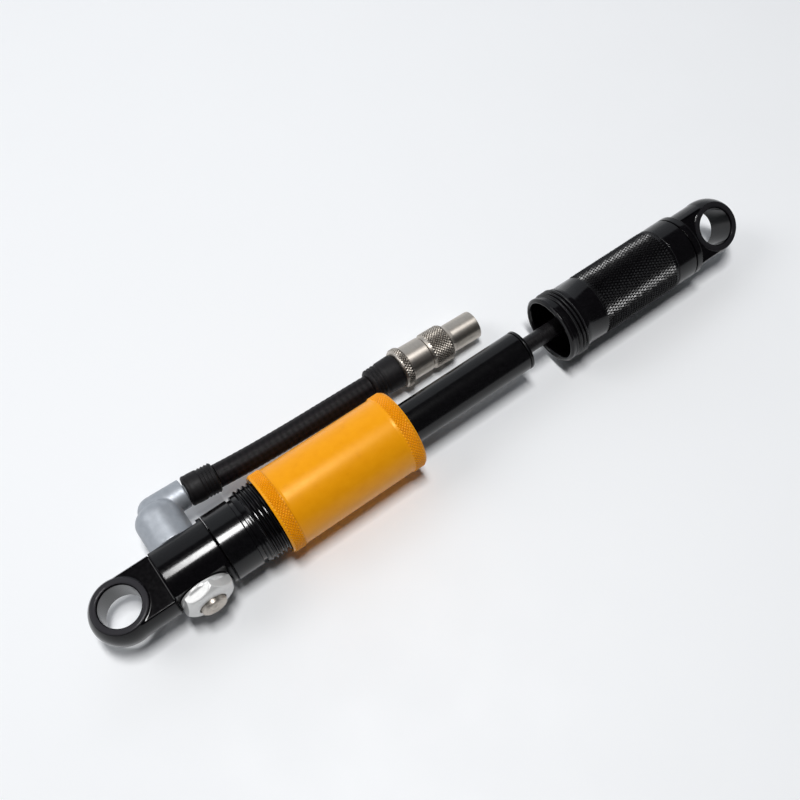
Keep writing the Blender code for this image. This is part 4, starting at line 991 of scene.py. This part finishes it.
class Finish:
    """A material whose colour, roughness and relief come from a few textures in the piece's own space."""

    def __init__(self, name, metallic, **sockets):
        self.material = bpy.data.materials.new(name)
        self.material.use_nodes = True
        self.tree = self.material.node_tree
        self.shader = self.tree.nodes["Principled BSDF"]
        self.shader.inputs["Metallic"].default_value = metallic
        for socket, value in sockets.items():
            self.shader.inputs[socket.replace("_", " ")].default_value = value
        self.node = self.tree.nodes.new
        self.link = self.tree.links.new
        self.place = self.node("ShaderNodeTexCoord").outputs["Object"]

    def noise(self, scale, detail=3, stretch=(1, 1, 1)):
        mapping = self.node("ShaderNodeMapping")
        mapping.inputs["Scale"].default_value = stretch
        node = self.node("ShaderNodeTexNoise")
        node.inputs["Scale"].default_value = scale
        node.inputs["Detail"].default_value = detail
        self.link(self.place, mapping.inputs["Vector"])
        self.link(mapping.outputs["Vector"], node.inputs["Vector"])
        return node.outputs["Fac"]

    def mark(self, name):
        """What the points of a piece are marked with."""
        node = self.node("ShaderNodeAttribute")
        node.attribute_name = name
        return node.outputs["Fac"]

    def spread(self, source, low, high, start=0.3, end=0.7):
        node = self.node("ShaderNodeMapRange")
        for socket, value in zip(("From Min", "From Max", "To Min", "To Max"), (start, end, low, high)):
            node.inputs[socket].default_value = value
        self.link(source, node.inputs["Value"])
        return node.outputs["Result"]

    def less_in_grooves(self, source):
        """A source that falls to nothing in the grooves of a knurl or a weave, where the colour turns to grime and
        painted shade.
        """
        deep = self.node("ShaderNodeMath")
        deep.operation = "POWER"
        deep.inputs[1].default_value = 3
        less = self.node("ShaderNodeMath")
        less.operation = "SUBTRACT"
        less.use_clamp = True
        self.link(source, less.inputs[0])
        self.link(self.mark("groove"), deep.inputs[0])
        self.link(deep.outputs["Value"], less.inputs[1])
        return less.outputs["Value"]

    def colour(self, source, dark, light, grime_and_painted_shade=None):
        """A colour between two, with a darker third in the grooves of a knurl or a weave that is partly grime and
        partly painted shade.
        """
        ramp = self.node("ShaderNodeValToRGB")
        for stop, place, shade in zip(ramp.color_ramp.elements, (0.3, 0.7), (dark, light)):
            stop.position = place
            stop.color = (*shade, 1)
        if grime_and_painted_shade:
            # The groove stop is grime together with painted shade in the hollows.
            ramp.color_ramp.elements.new(0).color = (*grime_and_painted_shade, 1)
            source = self.less_in_grooves(source)
        self.link(source, ramp.inputs["Fac"])
        self.link(ramp.outputs["Color"], self.shader.inputs["Base Color"])

    def painted_sheen_colour(self, shade):
        """Gives marked faces a lighter grey, a painted sheen that stands for their soft reflection."""
        mix = self.node("ShaderNodeMix")
        mix.data_type = "RGBA"
        usual = self.shader.inputs["Base Color"].links[0].from_socket
        colours = [socket for socket in mix.inputs if socket.type == "RGBA"]
        colours[1].default_value = (*shade, 1)
        self.link(self.mark("painted_sheen"), mix.inputs["Factor"])
        self.link(usual, colours[0])
        mixed = next(socket for socket in mix.outputs if socket.type == "RGBA")
        self.link(mixed, self.shader.inputs["Base Color"])

    def dim_edges(self, usual, least):
        """Takes the shine off marked edges."""
        shine = self.spread(self.mark("edge"), usual, least, 0, 1)
        self.link(shine, self.shader.inputs["Specular IOR Level"])

    def roughness(self, source, low, high):
        self.link(self.spread(source, low, high), self.shader.inputs["Roughness"])

    def rough_marks(self):
        """Makes marked stretches rougher."""
        total = self.node("ShaderNodeMath")
        usual = self.shader.inputs["Roughness"].links[0].from_socket
        self.link(usual, total.inputs[0])
        self.link(self.mark("rough"), total.inputs[1])
        self.link(total.outputs["Value"], self.shader.inputs["Roughness"])

    def relief(self, source, height, strength):
        node = self.node("ShaderNodeBump")
        node.inputs["Distance"].default_value = height
        node.inputs["Strength"].default_value = strength
        self.link(source, node.inputs["Height"])
        self.link(node.outputs["Normal"], self.shader.inputs["Normal"])

    def turned(self, low, high, height):
        """The roughness and the fine rings of a turned surface."""
        self.roughness(self.noise(900, 4, (8, 1, 1)), low, high)
        self.relief(self.noise(1200, 2, (15, 0.6, 0.6)), height, 0.5)

    def fade(self, start, end):
        """Lets the surface give way to the backdrop between two distances from its middle."""
        reach = self.node("ShaderNodeVectorMath")
        reach.operation = "LENGTH"
        clear = self.node("ShaderNodeBsdfTransparent")
        mix = self.node("ShaderNodeMixShader")
        self.link(self.place, reach.inputs[0])
        self.link(self.spread(reach.outputs["Value"], 0, 1, start, end), mix.inputs["Fac"])
        self.link(self.shader.outputs["BSDF"], mix.inputs[1])
        self.link(clear.outputs["BSDF"], mix.inputs[2])
        self.link(mix.outputs["Shader"], self.tree.nodes["Material Output"].inputs["Surface"])


def satin_black():
    made = Finish("satin_black_anodised", 0.0, IOR=1.38)
    made.colour(made.noise(900), (0.0012, 0.0010, 0.0014), (0.0028, 0.0024, 0.0031))
    # Painted sheen: the eyelets' flat faces get a lighter grey than the black around them.
    made.painted_sheen_colour((0.036, 0.035, 0.039))
    made.dim_edges(0.5, 0.06)
    made.roughness(made.noise(900), 0.13, 0.17)
    made.rough_marks()
    made.relief(made.noise(1400, 1), 2 * MICRON, 0.4)
    return made.material


def gloss_black():
    made = Finish("gloss_black_anodised", 0.0, IOR=1.42)
    made.colour(made.noise(500), (0.0012, 0.0011, 0.0014), (0.0032, 0.0030, 0.0036))
    made.roughness(made.noise(600, 4, (8, 1, 1)), 0.14, 0.19)
    made.dim_edges(0.5, 0.2)
    made.relief(made.noise(300, 2, (20, 0.5, 0.5)), 3 * MICRON, 0.5)
    return made.material


def dark_rod():
    made = Finish("black_oxide_rod", 0.4, IOR=1.5)
    made.colour(made.noise(600, 3, (6, 1, 1)), (0.010, 0.009, 0.010), (0.022, 0.021, 0.022))
    made.turned(0.22, 0.34, 3 * MICRON)
    return made.material


def orange_anodised():
    made = Finish("orange_anodised_metal", 0.0, IOR=1.5, Specular_Tint=(1.0, 0.72, 0.30, 1))
    # Darker orange in the knurl's grooves: partly grime, partly painted shade.
    grime_and_painted_shade = (0.76, 0.27, 0.0020)
    made.colour(made.noise(350, 2), (0.90, 0.342, 0.0028), (0.93, 0.366, 0.0042), grime_and_painted_shade)
    made.roughness(made.noise(600, 2), 0.30, 0.38)
    made.relief(made.noise(1400, 1), 3 * MICRON, 0.4)
    return made.material


def satin_silver():
    made = Finish("satin_silver_cast", 0.6, IOR=1.5)
    made.colour(made.noise(500), (0.36, 0.385, 0.42), (0.42, 0.445, 0.48))
    made.roughness(made.noise(700, 2), 0.44, 0.54)
    made.relief(made.noise(1400, 1), 5 * MICRON, 0.5)
    return made.material


def bright_silver():
    made = Finish("bright_silver_anodised", 0.35, IOR=1.5)
    made.colour(made.noise(500, 2), (0.76, 0.76, 0.75), (0.80, 0.80, 0.79))
    made.roughness(made.noise(700, 2), 0.28, 0.36)
    made.relief(made.noise(1200, 1), 2 * MICRON, 0.5)
    return made.material


def nickel():
    """Nickel brushed round each piece's own axis."""
    made = Finish("nickel_plate_brushed", 1.0, Anisotropic=0.6, Anisotropic_Rotation=0.25)
    around = made.node("ShaderNodeTangent")
    around.direction_type = "RADIAL"
    around.axis = "X"
    made.link(around.outputs["Tangent"], made.shader.inputs["Tangent"])
    # Dark grey in the knurl's grooves: partly grime, partly painted shade.
    grime_and_painted_shade = (0.17, 0.15, 0.128)
    made.colour(made.noise(400, 3, (4, 1, 1)), (0.50, 0.46, 0.41), (0.56, 0.515, 0.46), grime_and_painted_shade)
    made.roughness(made.noise(600, 3, (6, 1, 1)), 0.40, 0.48)
    made.relief(made.noise(250, 1, (12, 0.6, 0.6)), 3 * MICRON, 0.5)
    return made.material


def steel():
    made = Finish("ground_steel", 1.0)
    made.colour(made.noise(700, 3, (6, 1, 1)), (0.42, 0.42, 0.43), (0.52, 0.52, 0.53))
    made.turned(0.14, 0.24, 3 * MICRON)
    return made.material


def brass():
    made = Finish("turned_brass", 1.0)
    made.colour(made.noise(700, 3, (6, 1, 1)), (0.60, 0.41, 0.14), (0.70, 0.50, 0.20))
    made.turned(0.22, 0.34, 4 * MICRON)
    return made.material


def white_plastic():
    made = Finish("turned_acetal", 0.0, IOR=1.48)
    made.colour(made.noise(500), (0.70, 0.69, 0.65), (0.78, 0.77, 0.73))
    made.roughness(made.noise(900, 4), 0.42, 0.55)
    made.relief(made.noise(1500, 2, (12, 0.6, 0.6)), 6 * MICRON, 0.5)
    return made.material


def rubber():
    made = Finish("black_rubber_moulded", 0.0, IOR=1.35)
    made.colour(made.noise(700), (0.0030, 0.0024, 0.0029), (0.0070, 0.0058, 0.0066))
    made.roughness(made.noise(900), 0.50, 0.64)
    made.relief(made.noise(1500, 2), 30 * MICRON, 0.4)
    return made.material


def braided_rubber():
    made = Finish("black_hose_cover", 0.0, IOR=1.29)
    # Near-black in the weave's dips: partly grime, partly painted shade.
    grime_and_painted_shade = (0.0006, 0.0004, 0.0006)
    made.colour(made.noise(1500), (0.0040, 0.0026, 0.0034), (0.0090, 0.0060, 0.0076), grime_and_painted_shade)
    made.roughness(made.noise(1200), 0.50, 0.62)
    made.relief(made.noise(1500, 2), 20 * MICRON, 0.4)
    return made.material


def pale_floor():
    made = Finish("pale_floor", 0.0, IOR=1.45)
    made.colour(made.noise(3, 2), (0.930, 0.942, 0.958), (0.945, 0.957, 0.973))
    made.roughness(made.noise(40), 0.5, 0.6)
    made.relief(made.noise(900, 2), 20 * MICRON, 0.2)
    made.fade(0.4, 1.0)
    return made.material


def dress_inner_nodes(finishes):
    """Pieces inside keep their solids and take the finish of their material slot."""
    slots = {part["node"]: part["material_slot"] for part in frame["record"]["subparts"]}
    for name, node in frame["nodes"].items():
        if node.hide_render:
            continue
        node.data.materials.clear()
        node.data.materials.append(finishes[slots[name]])


def add_floor(finish):
    shape = bmesh.new()
    bmesh.ops.create_grid(shape, x_segments=8, y_segments=8, size=FLOOR_HALF)
    mesh = open_mesh("floor", shape)
    mesh.materials.append(finish)
    floor = set_up("floor", mesh, (0, 0, -FLOOR_DROP))


def glowing(name, glow):
    """A black finish that gives off an even light."""
    black = (0, 0, 0, 1)
    made = Finish(name, 0.0, Base_Color=black, Roughness=1, Emission_Color=(*glow, 1), Emission_Strength=1)
    return made.material


def add_arch(name, start, end, glow):
    """A stretch of an arch along the pump, from one angle to another, that the camera doesn't see."""
    shape = bmesh.new()
    rows = []
    for step in range(ARCH_STEPS + 1):
        turn = math.radians(start + (end - start) * step / ARCH_STEPS)
        across, up = ROOM_RADIUS * math.cos(turn), ROOM_RADIUS * math.sin(turn)
        rows.append([shape.verts.new((along, across, up)) for along in (-ROOM_HALF_LENGTH, ROOM_HALF_LENGTH)])
    for here, there in zip(rows, rows[1:]):
        shape.faces.new((here[0], here[1], there[1], there[0]))
    mesh = open_mesh(name, shape)
    mesh.materials.append(glowing(name, glow))
    arch = set_up(name, mesh)
    arch.visible_camera = False
    arch.visible_diffuse = False
    arch.visible_shadow = False
    arch.visible_transmission = False
    return arch


def add_room():
    """A pale wall behind the set that lights it a little, and a dim room that only reflections see."""
    wall = add_arch("pale_wall", WALL_FOOT, WALL_TOP, glow=(0.56, 0.59, 0.63))
    wall.visible_diffuse = True
    add_arch("dim_room", WALL_TOP, ROOM_FOOT, glow=(0.05, 0.05, 0.055))


def either(tree, one, other):
    """The larger of two sources."""
    node = tree.nodes.new("ShaderNodeMath")
    node.operation = "MAXIMUM"
    tree.links.new(one, node.inputs[0])
    tree.links.new(other, node.inputs[1])
    return node.outputs["Value"]


def add_world():
    """A bright backdrop that hardly lights the set."""
    world = bpy.data.worlds.new("studio")
    bpy.context.scene.world = world
    world.use_nodes = True
    tree = world.node_tree
    background = tree.nodes["Background"]
    background.inputs["Color"].default_value = (0.93, 0.96, 1.0, 1)
    path = tree.nodes.new("ShaderNodeLightPath")
    seen = either(tree, path.outputs["Is Camera Ray"], path.outputs["Is Glossy Ray"])
    seen = either(tree, seen, path.outputs["Is Transmission Ray"])
    level = tree.nodes.new("ShaderNodeMapRange")
    level.inputs["To Min"].default_value = WORLD_LIGHT
    level.inputs["To Max"].default_value = WORLD_SEEN
    tree.links.new(seen, level.inputs["Value"])
    tree.links.new(level.outputs["Result"], background.inputs["Strength"])


def add_lamp(name, place, size, power):
    """A soft lamp that faces the pump."""
    data = bpy.data.lights.new(name, "AREA")
    data.shape = "RECTANGLE" if size[0] != size[1] else "DISK"
    data.size, data.size_y = size
    data.energy = power
    set_up(name, data, place, (-Vector(place)).to_track_quat("-Z", "Y").to_euler())


def add_light():
    bpy.context.scene.view_settings.view_transform = "Standard"
    add_world()
    add_lamp("overhead", place=(-0.035, 0, 1.15), size=(0.36, 0.16), power=9.1)
    add_lamp("far_left", place=(-0.85, 0.62, 0.95), size=(0.7, 0.7), power=3.8)


def dress_hose_line(plated, soft):
    """The hose with its boots and its chuck."""
    chuck = [dress_chuck_body(plated), dress_chuck_nut(plated)]
    boots = [dress_rear_boot(soft), dress_front_boot(soft)]
    dress_hose(braided_rubber())


def dress():
    add_camera()
    black, gloss = satin_black(), gloss_black()
    orange, silver, plated = orange_anodised(), satin_silver(), nickel()
    bright, soft = steel(), rubber()
    dress_hose_line(plated, soft)
    dress_head(black)
    dress_collar(gloss)
    dress_barrel(gloss)
    dress_gland_cap(gloss)
    dress_rod(dark_rod())
    dress_sleeve(orange)
    dress_handle(black)
    dress_handle_end(black)
    dress_bleed_hexagon(bright_silver())
    dress_bleed_button(plated)
    dress_elbow(silver)
    dress_bleed_spring(bright)
    dress_check_spring(bright)
    dress_inner_nodes({
        "satin_black": black, "gloss_black": gloss, "orange_anodised": orange, "satin_silver": silver,
        "nickel_plate": plated, "bright_steel": bright, "brass": brass(), "white_plastic": white_plastic(),
        "black_rubber": soft,
    })
    add_floor(pale_floor())
    add_room()
    add_light()


dress()
